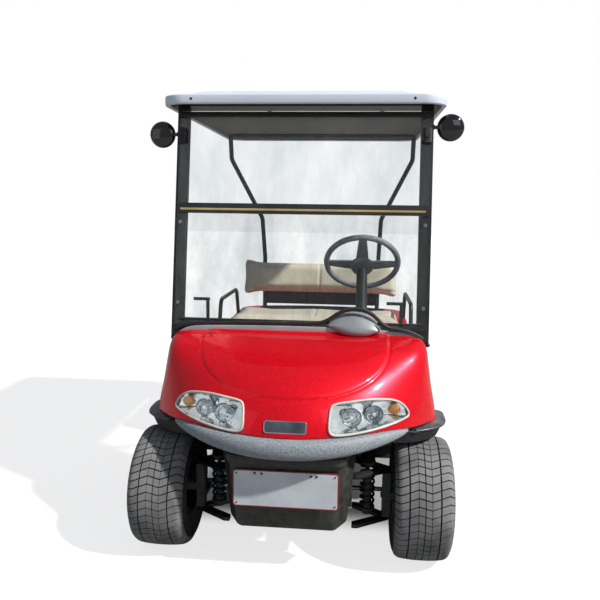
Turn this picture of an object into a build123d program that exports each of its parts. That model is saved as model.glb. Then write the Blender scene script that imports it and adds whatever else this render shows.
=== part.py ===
"""Two-seat golf cart with roof, folding windscreen and bag well.

Millimetres. +Z is up, the nose points to -Y, and the driver sits on the +X side.
The origin is on the ground, under the middle of the cart.
"""
import os
from math import atan2, cos, degrees, hypot, radians, sin

from build123d import *

# ---- overall ----
overall_length = 2388.0
nose_to_axle = 328.0
axle_to_tail = 379.0
side_track = 487.0            # wheel centre to the middle of the cart
front_y = -overall_length / 2
rear_y = overall_length / 2
front_axle_y = front_y + nose_to_axle
rear_axle_y = rear_y - axle_to_tail
gap = 0.3                     # between pieces that sit against each other
shaft_gap = 0.05              # radial, between a shaft and its bore

# ---- wheels ----
tyre_radius = 228.5
tyre_half_width = 108.0
tread_half_width = 90.0
crown_drop = 5.0
rim_radius = 103.0
rim_half_width = 88.0
rim_wall = 5.0
flange_height = 9.0
disc_offset = 26.0            # towards the outside of the wheel
disc_thickness = 6.0
hub_radius = 36.0
hub_depth = 66.0
cap_radius = 30.0
cap_height = 16.0
stub_radius = 13.0
axle_z = tyre_radius

# ---- steering ----
kingpin_x = 360.0
kingpin_radius = 9.0
kingpin_depth = 24.0
knuckle_width = 30.0
knuckle_length = 44.0
lower_arm_z = 138.0
upper_arm_z = 330.0
arm_thickness = 16.0
steering_arm = 110.0
steering_arm_thickness = 16.0
tie_rod_radius = 9.0
tie_rod_lift = 6.0            # clear height over the steering arm
rack_housing_radius = 24.0
rack_housing_half = 150.0
column_tilt = 42.0            # degrees above the horizontal
wheel_centre = (249.0, front_y + 862, 1070.0)
steering_wheel_radius = 172.0
grip_radius = 13.0
column_length = 400.0
column_radius = 24.0
steering_shaft_radius = 11.0

# ---- chassis ----
rail_x = 205.0
rail_width = 50.0
rail_height = 50.0
floor_z = 290.0
rail_z = floor_z - rail_height - gap
rail_kick = 92.0              # how far they rise over the rear axle
floor_thickness = 10.0
floor_half_width = 520.0
sill_width = 36.0
shock_x = 288.0
shock_radius = 30.0
shock_rod_radius = 9.0
tower_z = 436.0
rear_tube_radius = 36.0
drum_radius = 88.0
drum_depth = 48.0
spring_x = 300.0
spring_width = 50.0
spring_thickness = 14.0
spring_half_length = 270.0

# ---- body shell ----
wall = 4.0
dash_y = front_y + 504        # back edge of the cowl's top
door_front_y = front_y + 694
cowl_low = 300.0
arch_top_z = 512.0
arch_back_y = front_axle_y + 314
arch_radius = 200.0
bumper_top_z = 545.0
bumper_drop = 66.0
bumper_stand = 28.0
bumper_end_x = 424.0
valance_low_z = 176.0
valance_front = (front_y + 76, front_y + 114)     # its face at the top and at the bottom
valance_back_y = front_y + 182
valance_top_half = 204.0
valance_low_half = 176.0
valance_flare = 44.0          # wider on each side at its back
plate_width = 372.0
plate_height = 134.0
plate_z = 345.0
seat_front_y = rear_y - 1076
deck_z = 606.0
rear_arch_radius = 282.0
flare_stand = 30.0            # how far the front lips stand out of the cowl
flare_height = 28.0
flare_drop = 6.0              # how far they reach into the arch
rear_stand = 18.0             # how far the rear lips and bumper stand out
trim_height = 28.0

# ---- windscreen and roof ----
screen_foot = (front_y + 452, 800.0)      # (y, z) at the bottom of the struts
screen_head = (front_y + 606, 1713.0)     # (y, z) at the top
strut_x = 487.0
strut_width = 48.0
strut_depth = 24.0
glass_thickness = 5.0
glass_half_width = 500.0
hinge_at = 512.0                  # up the screen from its foot
roof_low_z = 1705.0
roof_rim = 37.0
roof_half_width = 556.0
roof_front_y = front_y + 494
roof_rear_y = rear_y - 522
roof_corner = 95.0
roof_skin = 4.0
crown_rise = 32.0
crown_inset = 78.0

# ---- seat ----
seat_half_width = 500.0
seat_depth = 470.0
seat_thickness = 104.0
seat_pan_thickness = 12.0
seat_hinge_radius = 8.0
back_height = 250.0
back_thickness = 86.0
back_lean = 14.0
back_low_z = 772.0
back_front_y = rear_y - 566
well_front_y = rear_y - 354
well_floor_z = 474.0
bolt_spacing_x = 300.0        # between the bolt holes in the bag well's floor
bolt_spacing_y = 120.0
bolt_centre_y = well_front_y + 130
bolt_hole_radius = 4.25

# ---- round things ----
mirror_radius = 53.0
mirror_depth = 26.0
mirror_x = 578.0
mirror_y = front_y + 599
mirror_heights = {-1: screen_head[1] - 113, 1: screen_head[1] - 83}

parts = {}


# ---------------------------------------------------------------- helpers
def block(x_range, y_range, z_range):
    """A plain box given by its three spans."""
    spans = (x_range, y_range, z_range)
    sizes = [high - low for low, high in spans]
    middle = [(high + low) / 2 for low, high in spans]
    return Pos(*middle) * Box(*sizes)


def rod(start, end, radius):
    """A round bar from one point to another."""
    start = Vector(*start)
    end = Vector(*end)
    plane = Plane(origin=start, z_dir=end - start)
    return extrude(plane * Circle(radius), (end - start).length)


def side_cut(points, x_range):
    """A prism across the cart from an outline of (y, z) points."""
    plane = Plane(origin=(x_range[0], 0, 0), x_dir=(0, 1, 0), z_dir=(1, 0, 0))
    return extrude(plane * make_face(Polyline(*points, close=True)), x_range[1] - x_range[0])


def front_cut(points, y_range):
    """A prism along the cart from an outline of (x, z) points."""
    plane = Plane(origin=(0, y_range[1], 0), x_dir=(1, 0, 0), z_dir=(0, -1, 0))
    return extrude(plane * make_face(Polyline(*points, close=True)), y_range[1] - y_range[0])


def plan_cut(points, z_range):
    """An upright prism from an outline of (x, y) points."""
    face = make_face(Polyline(*points, close=True))
    return extrude(Pos(0, 0, z_range[0]) * face, z_range[1] - z_range[0])


def bent_tube(points, bend, radius):
    """A round tube along straight runs joined by arcs."""
    path = FilletPolyline(*points, radius=bend)
    section = Plane(origin=path @ 0, z_dir=path % 0) * Circle(radius)
    return sweep(section, path=path)


def both_sides(shape):
    """The shape and its mirror image across the cart."""
    return shape + mirror(shape, about=Plane.YZ)


def bowed_section(height, half_width, shoulder, tip, corner, back):
    """A level outline: straight back and sides, then three tangent arcs round the tip."""
    reach = abs(tip - shoulder)
    facing = 1 if tip > shoulder else -1
    tip_radius = ((half_width - corner) ** 2 + reach**2 - corner**2) / (2 * (reach - corner))
    corner_x = half_width - corner
    to_tip_centre = facing * (reach - tip_radius)
    span = hypot(corner_x, to_tip_centre)
    turn_x = corner_x / span
    turn_y = -to_tip_centre / span
    meet = (corner_x + corner * turn_x, shoulder + corner * turn_y)
    half_turn = hypot(1 + turn_x, turn_y)
    middle = (
        corner_x + corner * (1 + turn_x) / half_turn,
        shoulder + corner * turn_y / half_turn,
    )
    edges = [
        Line((-half_width, back), (half_width, back)),
        Line((half_width, back), (half_width, shoulder)),
        ThreePointArc((half_width, shoulder), middle, meet),
        ThreePointArc(meet, (0, tip), (-meet[0], meet[1])),
        ThreePointArc((-meet[0], meet[1]), (-middle[0], middle[1]), (-half_width, shoulder)),
        Line((-half_width, shoulder), (-half_width, back)),
    ]
    return Pos(0, 0, height) * make_face(edges)


def bowed_body(rows, back, inset=0.0):
    """Loft of level outlines, each drawn in by the inset.

    rows: (height, half width, shoulder y, tip y, corner radius)
    """
    sections = []
    for height, half_width, shoulder, tip, corner in rows:
        inward = inset if tip < shoulder else -inset
        radius = max(corner - inset, corner * 0.5)
        sections.append(
            bowed_section(
                height - inset, half_width - inset, shoulder, tip + inward, radius, back
            )
        )
    return loft(sections)


# ---------------------------------------------------------------- front cowl
cowl_slices = (
    # height, half width, shoulder and nose behind the front, corner radius
    (cowl_low, 554.0, 404.0, 26.0, 175.0),
    (480.0, 548.0, 404.0, 26.0, 172.0),
    (560.0, 538.0, 405.0, 34.0, 168.0),
    (650.0, 521.0, 410.0, 78.0, 158.0),
    (725.0, 510.0, 418.0, 152.0, 140.0),
    (780.0, 502.0, 432.0, 254.0, 108.0),
    (812.0, 484.0, 449.0, 344.0, 66.0),
    (828.0, 440.0, 462.0, 426.0, 24.0),
)
cowl_rows = [
    (height, half, front_y + shoulder, front_y + nose, corner)
    for height, half, shoulder, nose, corner in cowl_slices
]
lamp_back_y = front_y + 314
cowl_solid = bowed_body(cowl_rows, door_front_y)
cowl_inside = bowed_body(cowl_rows, door_front_y + 1, wall)
cowl_inside += bowed_body(
    [(row[0] - 2 * wall, *row[1:]) for row in cowl_rows[:2]], door_front_y + 1, wall
)

arch_corner_y = arch_back_y - arch_radius
arch_corner_z = arch_top_z - arch_radius


def front_arch(grow):
    """The space round a front wheel, open to the front and below, grown by a wall."""
    top = arch_top_z + grow
    back = arch_back_y + grow
    straight = block((0, 700), (front_y - 20, arch_corner_y), (0, top))
    low = block((0, 700), (arch_corner_y, back), (0, arch_corner_z))
    round_part = Pos(350, arch_corner_y, arch_corner_z) * Rot(0, 90, 0) * Cylinder(
        arch_radius + grow, 700
    )
    return straight + low + round_part


cowl_side = side_cut(
    [
        (front_y - 20, arch_top_z + wall),
        (front_y - 20, 900.0),
        (dash_y, 900.0),
        (dash_y, 780.0),
        (dash_y + 40, 700.0),
        (door_front_y - 60, 540.0),
        (door_front_y, 400.0),
        (door_front_y, cowl_low),
        (arch_back_y - 40, cowl_low),
        (arch_back_y - 40, arch_top_z + wall),
    ],
    (-700, 700),
)
bumper_arc = [
    (-bumper_end_x, bumper_top_z - 16),
    (-300.0, bumper_top_z - 6),
    (0.0, bumper_top_z),
    (300.0, bumper_top_z - 6),
    (bumper_end_x, bumper_top_z - 16),
]
below_cowl = front_cut(
    [(-700.0, arch_top_z), *bumper_arc, (700.0, arch_top_z), (700.0, 200.0), (-700.0, 200.0)],
    (front_y - 20, lamp_back_y),
)

lamp_outline = (
    # x, z of the right-hand lamp, seen from the front
    (150.0, 568.0),
    (152.0, 641.0),
    (178.0, 650.0),
    (362.0, 647.0),
    (400.0, 622.0),
    (424.0, 592.0),
    (320.0, 565.0),
    (200.0, 556.0),
)
lamp_space = front_cut(lamp_outline, (front_y, lamp_back_y))
lamp_depth = 34.0
lamp_inside = bowed_body(cowl_rows, door_front_y, lamp_depth)
headlamp = (lamp_space & cowl_solid) - lamp_inside
lamp_hole = front_cut(
    [(x + (-gap if x < 250 else gap), z + (gap if z > 600 else -gap)) for x, z in lamp_outline],
    (front_y, lamp_back_y),
)
cowl_shell = (cowl_solid - cowl_inside) & cowl_side
cowl_shell = cowl_shell - both_sides(front_arch(wall)) - below_cowl - both_sides(lamp_hole)
parts["front_cowl"] = cowl_shell
parts["headlamps"] = both_sides(headlamp)

# ---- badge
badge_width = 158.0
badge_height = 46.0
badge_z = 582.0
badge_stand = 4.0
badge_block = block(
    (-badge_width / 2, badge_width / 2),
    (front_y, valance_front[1]),
    (badge_z - badge_height / 2, badge_z + badge_height / 2),
)
proud_rows = [
    (row[0], row[1] + badge_stand, row[2], row[3] - badge_stand, row[4]) for row in cowl_rows
]
badge = (bowed_body(proud_rows, door_front_y) & badge_block) - cowl_solid
parts["badge_plate"] = badge

# ---- bumper
bumper_rows = [
    (row[0], row[1] + bumper_stand, row[2] - 30, front_y, row[4]) for row in cowl_rows[:3]
]
bumper_front = bowed_body(bumper_rows, door_front_y)
bumper_under = [
    (bumper_end_x, bumper_top_z - 20),
    (300.0, bumper_top_z - bumper_drop + 22),
    (160.0, bumper_top_z - bumper_drop + 5),
    (0.0, bumper_top_z - bumper_drop),
    (-160.0, bumper_top_z - bumper_drop + 5),
    (-300.0, bumper_top_z - bumper_drop + 22),
    (-bumper_end_x, bumper_top_z - 20),
]
crescent = front_cut([*bumper_arc, *bumper_under], (front_y - 20, lamp_back_y - 20))
parts["front_bumper"] = (bumper_front & crescent) - bowed_body(cowl_rows, door_front_y, 40.0)

# ---- valance and plate
valance_top_z = bumper_top_z - bumper_drop + 2


def valance_block(inset, open_back):
    """The dark box under the bumper, drawn in by a wall."""
    outlines = []
    for front, half, level in (
        (valance_front[1], valance_low_half, valance_low_z + inset),
        (valance_front[0], valance_top_half, valance_top_z + inset),
    ):
        back = valance_back_y + open_back
        wide = half + valance_flare * (back - front) / (valance_back_y - front) - inset
        narrow = half - inset
        corners = ((-narrow, front + inset), (narrow, front + inset), (wide, back), (-wide, back))
        outline = make_face(Polyline(*corners, close=True))
        rounded = fillet(outline.vertices().group_by(Axis.Y)[0], 28 - inset)
        outlines.append(Pos(0, 0, level) * rounded)
    return loft(outlines)


valance = (valance_block(0, 60) - valance_block(wall, 64)) & block(
    (-400, 400), (front_y, valance_back_y), (0, 600)
)
parts["front_valance"] = valance - parts["front_bumper"] - cowl_solid
valance_lean = degrees(atan2(valance_front[1] - valance_front[0], valance_top_z - valance_low_z))
plate_share = (plate_z - valance_low_z) / (valance_top_z - valance_low_z)
plate_y = valance_front[1] + (valance_front[0] - valance_front[1]) * plate_share
plate_thickness = 2.0
plate_out = plate_thickness / 2 + gap
parts["number_plate"] = (
    Pos(0, plate_y, plate_z)
    * Rot(valance_lean, 0, 0)
    * Pos(0, -plate_out, 0)
    * Box(plate_width, plate_thickness, plate_height)
)

# ---------------------------------------------------------------- wheels
tyre_outline = make_face(
    [
        Polyline(
            (rim_half_width - 6, rim_radius + gap),
            (rim_half_width, rim_radius + gap),
            (rim_half_width, rim_radius + flange_height + gap),
            (tyre_half_width - 8, rim_radius + 30),
        ),
        ThreePointArc(
            (tyre_half_width - 8, rim_radius + 30),
            (tyre_half_width, tyre_radius - 62),
            (tyre_half_width - 5, tyre_radius - 28),
        ),
        ThreePointArc(
            (tyre_half_width - 5, tyre_radius - 28),
            (tread_half_width + 9, tyre_radius - 11),
            (tread_half_width, tyre_radius - crown_drop),
        ),
        ThreePointArc(
            (tread_half_width, tyre_radius - crown_drop),
            (0, tyre_radius),
            (-tread_half_width, tyre_radius - crown_drop),
        ),
        ThreePointArc(
            (-tread_half_width, tyre_radius - crown_drop),
            (-tread_half_width - 9, tyre_radius - 11),
            (-tyre_half_width + 5, tyre_radius - 28),
        ),
        ThreePointArc(
            (-tyre_half_width + 5, tyre_radius - 28),
            (-tyre_half_width, tyre_radius - 62),
            (-tyre_half_width + 8, rim_radius + 30),
        ),
        Polyline(
            (-tyre_half_width + 8, rim_radius + 30),
            (-rim_half_width, rim_radius + flange_height + gap),
            (-rim_half_width, rim_radius + gap),
            (-rim_half_width + 6, rim_radius + gap),
            (rim_half_width - 6, rim_radius + gap),
        ),
    ]
)
tyre = revolve(tyre_outline, axis=Axis.X)

rim_outline = make_face(
    Polyline(
        (-rim_half_width - rim_wall, rim_radius - rim_wall),
        (-rim_half_width - rim_wall, rim_radius + flange_height),
        (-rim_half_width - gap, rim_radius + flange_height),
        (-rim_half_width - gap, rim_radius),
        (rim_half_width + gap, rim_radius),
        (rim_half_width + gap, rim_radius + flange_height),
        (rim_half_width + rim_wall, rim_radius + flange_height),
        (rim_half_width + rim_wall, rim_radius - rim_wall),
        (disc_offset + disc_thickness, rim_radius - rim_wall),
        (disc_offset + disc_thickness, rim_radius - 24),
        (disc_offset + 20, hub_radius + 16),
        (disc_offset + 20, cap_radius),
        (disc_offset + 20 + cap_height, cap_radius - 8),
        (disc_offset + 20 + cap_height, 0),
        (disc_offset + 8, 0),
        (disc_offset + 8, stub_radius + shaft_gap),
        (disc_offset - hub_depth, stub_radius + shaft_gap),
        (disc_offset - hub_depth, hub_radius),
        (disc_offset + 8, hub_radius),
        (disc_offset + 8, hub_radius + 12),
        (disc_offset, rim_radius - 26),
        (disc_offset, rim_radius - rim_wall),
        close=True,
    )
)
rim = revolve(rim_outline, axis=Axis.X)
stub_end = side_track + disc_offset + 7

wheel_places = (
    # name, side (+1 is the driver's), axle y
    ("front_left", 1, front_axle_y),
    ("front_right", -1, front_axle_y),
    ("rear_left", 1, rear_axle_y),
    ("rear_right", -1, rear_axle_y),
)
for place, side, wheel_y in wheel_places:
    turned = Pos(side * side_track, wheel_y, axle_z) * Rot(0, 0, 0 if side > 0 else 180)
    parts[f"tyre_{place}"] = turned * tyre
    parts[f"rim_{place}"] = turned * rim

# ---------------------------------------------------------------- front suspension and steering
knuckle_low = lower_arm_z + arm_thickness / 2 + gap
knuckle_high = upper_arm_z - arm_thickness / 2 - gap
arm_z = knuckle_low + 20
upright = block(
    (kingpin_x - knuckle_width / 2, kingpin_x + knuckle_width / 2),
    (front_axle_y - knuckle_length / 2, front_axle_y + knuckle_length / 2),
    (knuckle_low, knuckle_high),
)
stub = rod((kingpin_x, front_axle_y, axle_z), (stub_end, front_axle_y, axle_z), stub_radius)
collar = rod(
    (kingpin_x, front_axle_y, axle_z),
    (side_track + disc_offset - hub_depth - 2, front_axle_y, axle_z),
    stub_radius + 9,
)
lever = block(
    (kingpin_x - 12, kingpin_x + 12),
    (front_axle_y, front_axle_y + steering_arm),
    (arm_z, arm_z + steering_arm_thickness),
)
lever_eye = Pos(kingpin_x, front_axle_y + steering_arm, arm_z + steering_arm_thickness / 2)
lever = lever + lever_eye * Cylinder(16, steering_arm_thickness)
pin_bore = Cylinder(kingpin_radius + shaft_gap, kingpin_depth + 1)
knuckle = upright + stub + collar + lever
knuckle = knuckle - Pos(kingpin_x, front_axle_y, knuckle_low + kingpin_depth / 2) * pin_bore
knuckle = knuckle - Pos(kingpin_x, front_axle_y, knuckle_high - kingpin_depth / 2) * pin_bore
parts["knuckle_left"] = knuckle
parts["knuckle_right"] = mirror(knuckle, about=Plane.YZ)

inner_x = rail_x + rail_width / 2 + gap
arm_half = 94.0


def wishbone(height):
    """A V-shaped arm from the rail to the kingpin."""
    plate = plan_cut(
        [
            (inner_x, front_axle_y - arm_half),
            (kingpin_x, front_axle_y - 15),
            (kingpin_x, front_axle_y + 15),
            (inner_x, front_axle_y + arm_half),
        ],
        (height - arm_thickness / 2, height + arm_thickness / 2),
    )
    boss = Pos(kingpin_x, front_axle_y, height) * Cylinder(15, arm_thickness)
    return plate + boss


pin = Cylinder(kingpin_radius, kingpin_depth - 2)
pin_reach = arm_thickness / 2 + kingpin_depth / 2 - 1
lower_pin = Pos(kingpin_x, front_axle_y, lower_arm_z + pin_reach) * pin
upper_pin = Pos(kingpin_x, front_axle_y, upper_arm_z - pin_reach) * pin
lower_arm = wishbone(lower_arm_z) + lower_pin
upper_arm = wishbone(upper_arm_z) + upper_pin
upper_arm = upper_arm - Pos(shock_x, front_axle_y, upper_arm_z) * Cylinder(
    shock_radius + 8, arm_thickness + 2
)
shock_low = lower_arm_z + arm_thickness / 2
shock = rod((shock_x, front_axle_y, shock_low), (shock_x, front_axle_y, tower_z), shock_rod_radius)
coil_turns = 7
coil_low = shock_low + 26
coil_high = tower_z - 12
for turn in range(coil_turns):
    level = coil_low + (coil_high - coil_low) * turn / (coil_turns - 1)
    shock = shock + Pos(shock_x, front_axle_y, level) * Cylinder(shock_radius, 14)
shock = shock + rod(
    (shock_x, front_axle_y, coil_low), (shock_x, front_axle_y, coil_high), shock_radius - 9
)
parts["front_suspension"] = both_sides(lower_arm + upper_arm + shock)

rack_y = front_axle_y + steering_arm
rack_z = arm_z + steering_arm_thickness + tie_rod_lift + tie_rod_radius
rack_half = kingpin_x + 12
parts["tie_rods"] = rod((-rack_half, rack_y, rack_z), (rack_half, rack_y, rack_z), tie_rod_radius)

# ---------------------------------------------------------------- chassis
rail_top = rail_z + rail_height
kick_start = rear_axle_y - 290
kick_end = rear_axle_y - 200
rail_rear = rear_y - 60
rail_front = valance_back_y + gap
rail = side_cut(
    [
        (rail_front, rail_z),
        (kick_start, rail_z),
        (kick_end, rail_z + rail_kick),
        (rail_rear, rail_z + rail_kick),
        (rail_rear, rail_top + rail_kick),
        (kick_end - 20, rail_top + rail_kick),
        (kick_start - 20, rail_top),
        (rail_front, rail_top),
    ],
    (rail_x - rail_width / 2, rail_x + rail_width / 2),
)
chassis = both_sides(rail)
cross_members = (
    # y, underside z, half length
    (rail_front + 25, rail_z, rail_x),
    (door_front_y - 20, rail_z, floor_half_width - 20),
    (seat_front_y - 58, rail_z, floor_half_width - 20),
    (rear_axle_y + 190, rail_z + rail_kick, spring_x + 30),
    (rail_rear - 25, rail_z + rail_kick, rail_x),
)
for member_y, member_z, half_length in cross_members:
    chassis = chassis + block(
        (-half_length, half_length), (member_y - 20, member_y + 20), (member_z, member_z + rail_height)
    )
# towers that hold the front shocks, and the hanger brackets of the rear springs
tower_span = (front_axle_y - 34, front_axle_y + 34)
tower = block((rail_x - 20, rail_x + 20), tower_span, (rail_top, tower_z + 14))
tower = tower + block((rail_x - 20, shock_x + 34), tower_span, (tower_z + gap, tower_z + 14))
chassis = chassis + both_sides(tower)
spring_front_y = rear_axle_y - spring_half_length
leaf_end_z = rail_top - 12
spring_rear_y = rear_axle_y + spring_half_length
hangers = ((spring_front_y, rail_top + 22), (spring_rear_y, rail_top + rail_kick - 10))
for hanger_y, hanger_top in hangers:
    hanger = block(
        (rail_x, spring_x + 30), (hanger_y - 20, hanger_y + 20), (leaf_end_z + gap, hanger_top)
    )
    chassis = chassis + both_sides(hanger)
rack_bracket = block(
    (rail_x - rail_width / 2, rail_x + rail_width / 2),
    (rack_y - 20, rack_y + 20),
    (rack_z - 20, rail_z + 1),
)
rack_bore = rod((-400, rack_y, rack_z), (400, rack_y, rack_z), tie_rod_radius + shaft_gap)
rack_housing = rod((-rail_x, rack_y, rack_z), (rail_x, rack_y, rack_z), rack_housing_radius)
chassis = chassis + both_sides(rack_bracket) + rack_housing - rack_bore
parts["chassis_frame"] = chassis

# ---------------------------------------------------------------- rear axle and springs
axle = rod((-430, rear_axle_y, axle_z), (430, rear_axle_y, axle_z), rear_tube_radius)
axle = axle + Pos(-60, rear_axle_y, axle_z) * Rot(0, 90, 0) * Cylinder(92, 110)
axle = axle + rod((-stub_end, rear_axle_y, axle_z), (stub_end, rear_axle_y, axle_z), stub_radius)
drum_end = side_track + disc_offset - hub_depth - 6
axle = axle + both_sides(
    rod((drum_end - drum_depth, rear_axle_y, axle_z), (drum_end, rear_axle_y, axle_z), drum_radius)
)
motor = rod((-5, rear_axle_y, axle_z), (170, rear_axle_y, axle_z), 86)
axle = axle + motor
parts["rear_axle"] = axle
spring_z = axle_z + rear_tube_radius + gap
leaf = side_cut(
    [
        (spring_front_y, leaf_end_z - spring_thickness),
        (rear_axle_y - 90, spring_z),
        (rear_axle_y + 90, spring_z),
        (spring_rear_y, leaf_end_z - spring_thickness),
        (spring_rear_y, leaf_end_z),
        (rear_axle_y + 90, spring_z + spring_thickness),
        (rear_axle_y - 90, spring_z + spring_thickness),
        (spring_front_y, leaf_end_z),
    ],
    (spring_x - spring_width / 2, spring_x + spring_width / 2),
)
parts["rear_springs"] = both_sides(leaf)

# ---------------------------------------------------------------- floor, liners, sills
foot_half = 264.0
bulkhead_y = dash_y - 70
seat_panel_y = seat_front_y - 10
floor_top = floor_z + floor_thickness
floor = block(
    (-floor_half_width, floor_half_width), (door_front_y - 40, seat_panel_y - gap), (floor_z, floor_top)
)
toe_board = side_cut(
    [
        (door_front_y - 40, floor_z),
        (door_front_y - 40, floor_z + floor_thickness),
        (dash_y + 50, floor_z + floor_thickness),
        (bulkhead_y, 430.0),
        (bulkhead_y, 700.0),
        (bulkhead_y - 8, 700.0),
        (bulkhead_y - 8, 424.0),
        (dash_y + 44, floor_z),
    ],
    (-foot_half, foot_half),
)
parts["floor_pan"] = floor + toe_board
liner_front_y = front_y + 234
flare_rows = [
    (row[0], row[1] + flare_stand, row[2] - 10, row[3] - flare_stand, row[4])
    for row in cowl_rows[:4]
]
flare_form = bowed_body(flare_rows, door_front_y)
liner_room = block((foot_half + 3 + gap, 600), (liner_front_y, arch_back_y + 10), (cowl_low + 2, 600))
liner = (front_arch(wall - gap) - front_arch(0)) & liner_room & flare_form
flare_room = block((bumper_end_x + gap, 600), (liner_front_y - 100, arch_back_y + 40), (cowl_low + 2, 600))
flare = (front_arch(flare_height) - front_arch(-flare_drop)) & flare_room & flare_form
liner = liner + (flare - cowl_solid - parts["front_bumper"])
liner_side = side_cut(
    [
        (liner_front_y, arch_top_z + wall - gap),
        (arch_back_y + wall - gap, arch_top_z + wall - gap),
        (arch_back_y + wall - gap, floor_z + floor_thickness + 2),
        (bulkhead_y, floor_z + floor_thickness + 2),
        (bulkhead_y, arch_top_z - 60),
        (liner_front_y, arch_top_z - 60),
    ],
    (foot_half + gap, foot_half + gap + 3),
)
parts["wheel_liners"] = both_sides(liner + liner_side)
parts["sill_panels"] = both_sides(
    block(
        (floor_half_width + gap, floor_half_width + sill_width),
        (arch_back_y + 14, seat_front_y + 400),
        (238, cowl_low - gap),
    )
)

# ---------------------------------------------------------------- dash and column
dash_outline = [
    (dash_y - 45, 800.0),
    (dash_y - 22, 856.0),
    (dash_y + 90, 848.0),
    (dash_y + 134, 800.0),
    (dash_y + 124, 668.0),
    (dash_y + 90, 650.0),
    (dash_y, 650.0),
]
dash_middle = (dash_y + 40, 600.0)
dash = side_cut(dash_outline, (-500, 500))
dash_hollow = side_cut(
    [
        (y - 0.04 * (y - dash_middle[0]), z - 0.06 * (z - dash_middle[1]))
        for y, z in dash_outline
    ],
    (-492, 492),
)
pocket_span = (dash_y + 70, dash_y + 150)
pocket = block((-470, -60), pocket_span, (706, 800)) + block((330, 470), pocket_span, (706, 800))

column_dir = Vector(0, cos(radians(column_tilt)), sin(radians(column_tilt)))
wheel_hub = Vector(*wheel_centre)
column_foot = wheel_hub - column_dir * column_length
column_head = wheel_hub - column_dir * 50
column_plane = Plane(origin=column_foot, z_dir=column_dir)

screen_rise = Vector(0, screen_head[0] - screen_foot[0], screen_head[1] - screen_foot[1])
screen_length = screen_rise.length
screen_tilt = degrees(atan2(screen_rise.Y, screen_rise.Z))


def on_screen(x, along, depth):
    """A place on the leaning windscreen: across, up the slope, and back from its face."""
    up = screen_rise.normalized()
    inward = Vector(0, up.Z, -up.Y)
    point = Vector(x, screen_foot[0], screen_foot[1]) + up * along + inward * depth
    return Pos(point.X, point.Y, point.Z) * Rot(-screen_tilt, 0, 0)


strut = on_screen(strut_x, screen_length / 2, strut_depth / 2) * Box(
    strut_width, strut_depth, screen_length
)
parts["front_struts"] = both_sides(strut - cowl_solid)
column_hole = rod(
    tuple(column_foot - column_dir * 40), tuple(column_head), column_radius + gap
)
dash_body = (dash - dash_hollow) - pocket - cowl_shell - both_sides(strut) - column_hole
parts["dash"] = dash_body

# the arched cover over the column, in front of the dash
cover_front_y = dash_y - 86
cover_low_z = 821.0
cover_top_z = 914.0
cover_tips = ((116.0, 860.0), (328.0, 844.0))
cover_x = 227.0
cover_face = make_face(
    [
        ThreePointArc(cover_tips[0], (cover_x, cover_top_z), cover_tips[1]),
        ThreePointArc(cover_tips[1], (cover_x + 10, cover_low_z), cover_tips[0]),
    ]
)
cover_plane = Plane(origin=(0, door_front_y - 80, 0), x_dir=(1, 0, 0), z_dir=(0, -1, 0))
cover_length = door_front_y - 80 - cover_front_y
cover_form = extrude(cover_plane * cover_face, cover_length)
cover_slope = side_cut(
    [
        (cover_front_y, cover_low_z - 10),
        (cover_front_y, cover_low_z + 16),
        (cover_front_y + 52, cover_top_z + 4),
        (door_front_y - 80, cover_top_z + 4),
        (door_front_y - 80, cover_low_z - 10),
    ],
    (cover_x - 150, cover_x + 150),
)
cover = (cover_form & cover_slope) - cowl_solid - dash - column_hole
parts["column_cover"] = cover

# the pale strip that follows the cowl's top edge
trim_top = ((505.0, 795.0), (470.0, 828.0), (380.0, 846.0), (0.0, 856.0))
trim_edge = [*trim_top, *[(-x, z) for x, z in reversed(trim_top[:3])]]
trim_outline = [*trim_edge, *[(x, z - trim_height) for x, z in reversed(trim_edge)]]
trim = front_cut(trim_outline, (screen_foot[0] - 16, screen_foot[0]))
parts["cowl_trim"] = trim - cowl_solid - cover - dash - both_sides(strut)

# ---------------------------------------------------------------- windscreen
glass_foot = 44.0
bar_height = 40.0
lower_length = hinge_at - bar_height / 2 - glass_foot
upper_length = screen_length - 22 - hinge_at - bar_height / 2
glass_depth = -gap - glass_thickness / 2
lower_pane = on_screen(0, glass_foot + lower_length / 2, glass_depth) * Box(
    2 * glass_half_width, glass_thickness, lower_length - 2 * gap
)
pane_cut = extrude(cover_plane * offset(cover_face, gap), cover_length)
parts["windscreen_lower"] = lower_pane - pane_cut
parts["windscreen_upper"] = on_screen(0, hinge_at + bar_height / 2 + upper_length / 2, glass_depth) * Box(
    2 * glass_half_width, glass_thickness, upper_length - 2 * gap
)
bar_depth = glass_thickness + 8
parts["windscreen_hinge"] = on_screen(0, hinge_at, -gap - bar_depth / 2) * Box(
    2 * glass_half_width, bar_depth, bar_height
)

# ---------------------------------------------------------------- roof
roof_mid_y = (roof_front_y + roof_rear_y) / 2
roof_length = roof_rear_y - roof_front_y


def roof_slab(inset, low, high):
    """A level slab with the roof's rounded corners."""
    outline = RectangleRounded(
        2 * (roof_half_width - inset), roof_length - 2 * inset, roof_corner - inset / 2
    )
    return extrude(Pos(0, roof_mid_y, low) * outline, high - low)


roof_top_z = roof_low_z + roof_rim
rim_body = roof_slab(0, roof_low_z, roof_top_z)


def crown_form(inset):
    """The raised middle of the roof, drawn in by a skin."""
    low = RectangleRounded(
        2 * (roof_half_width - 40 - inset), roof_length - 80 - 2 * inset, roof_corner - 20
    )
    reach = 40 + crown_inset + inset
    high = RectangleRounded(2 * (roof_half_width - reach), roof_length - 2 * reach, 60)
    foot = Pos(0, roof_mid_y, roof_top_z - inset) * low
    return loft([foot, Pos(0, roof_mid_y, roof_top_z + crown_rise - inset) * high])


roof = rim_body + crown_form(0) - roof_slab(2 * roof_skin, roof_low_z - 1, roof_top_z - roof_skin)
parts["roof"] = roof - crown_form(roof_skin)
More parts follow.
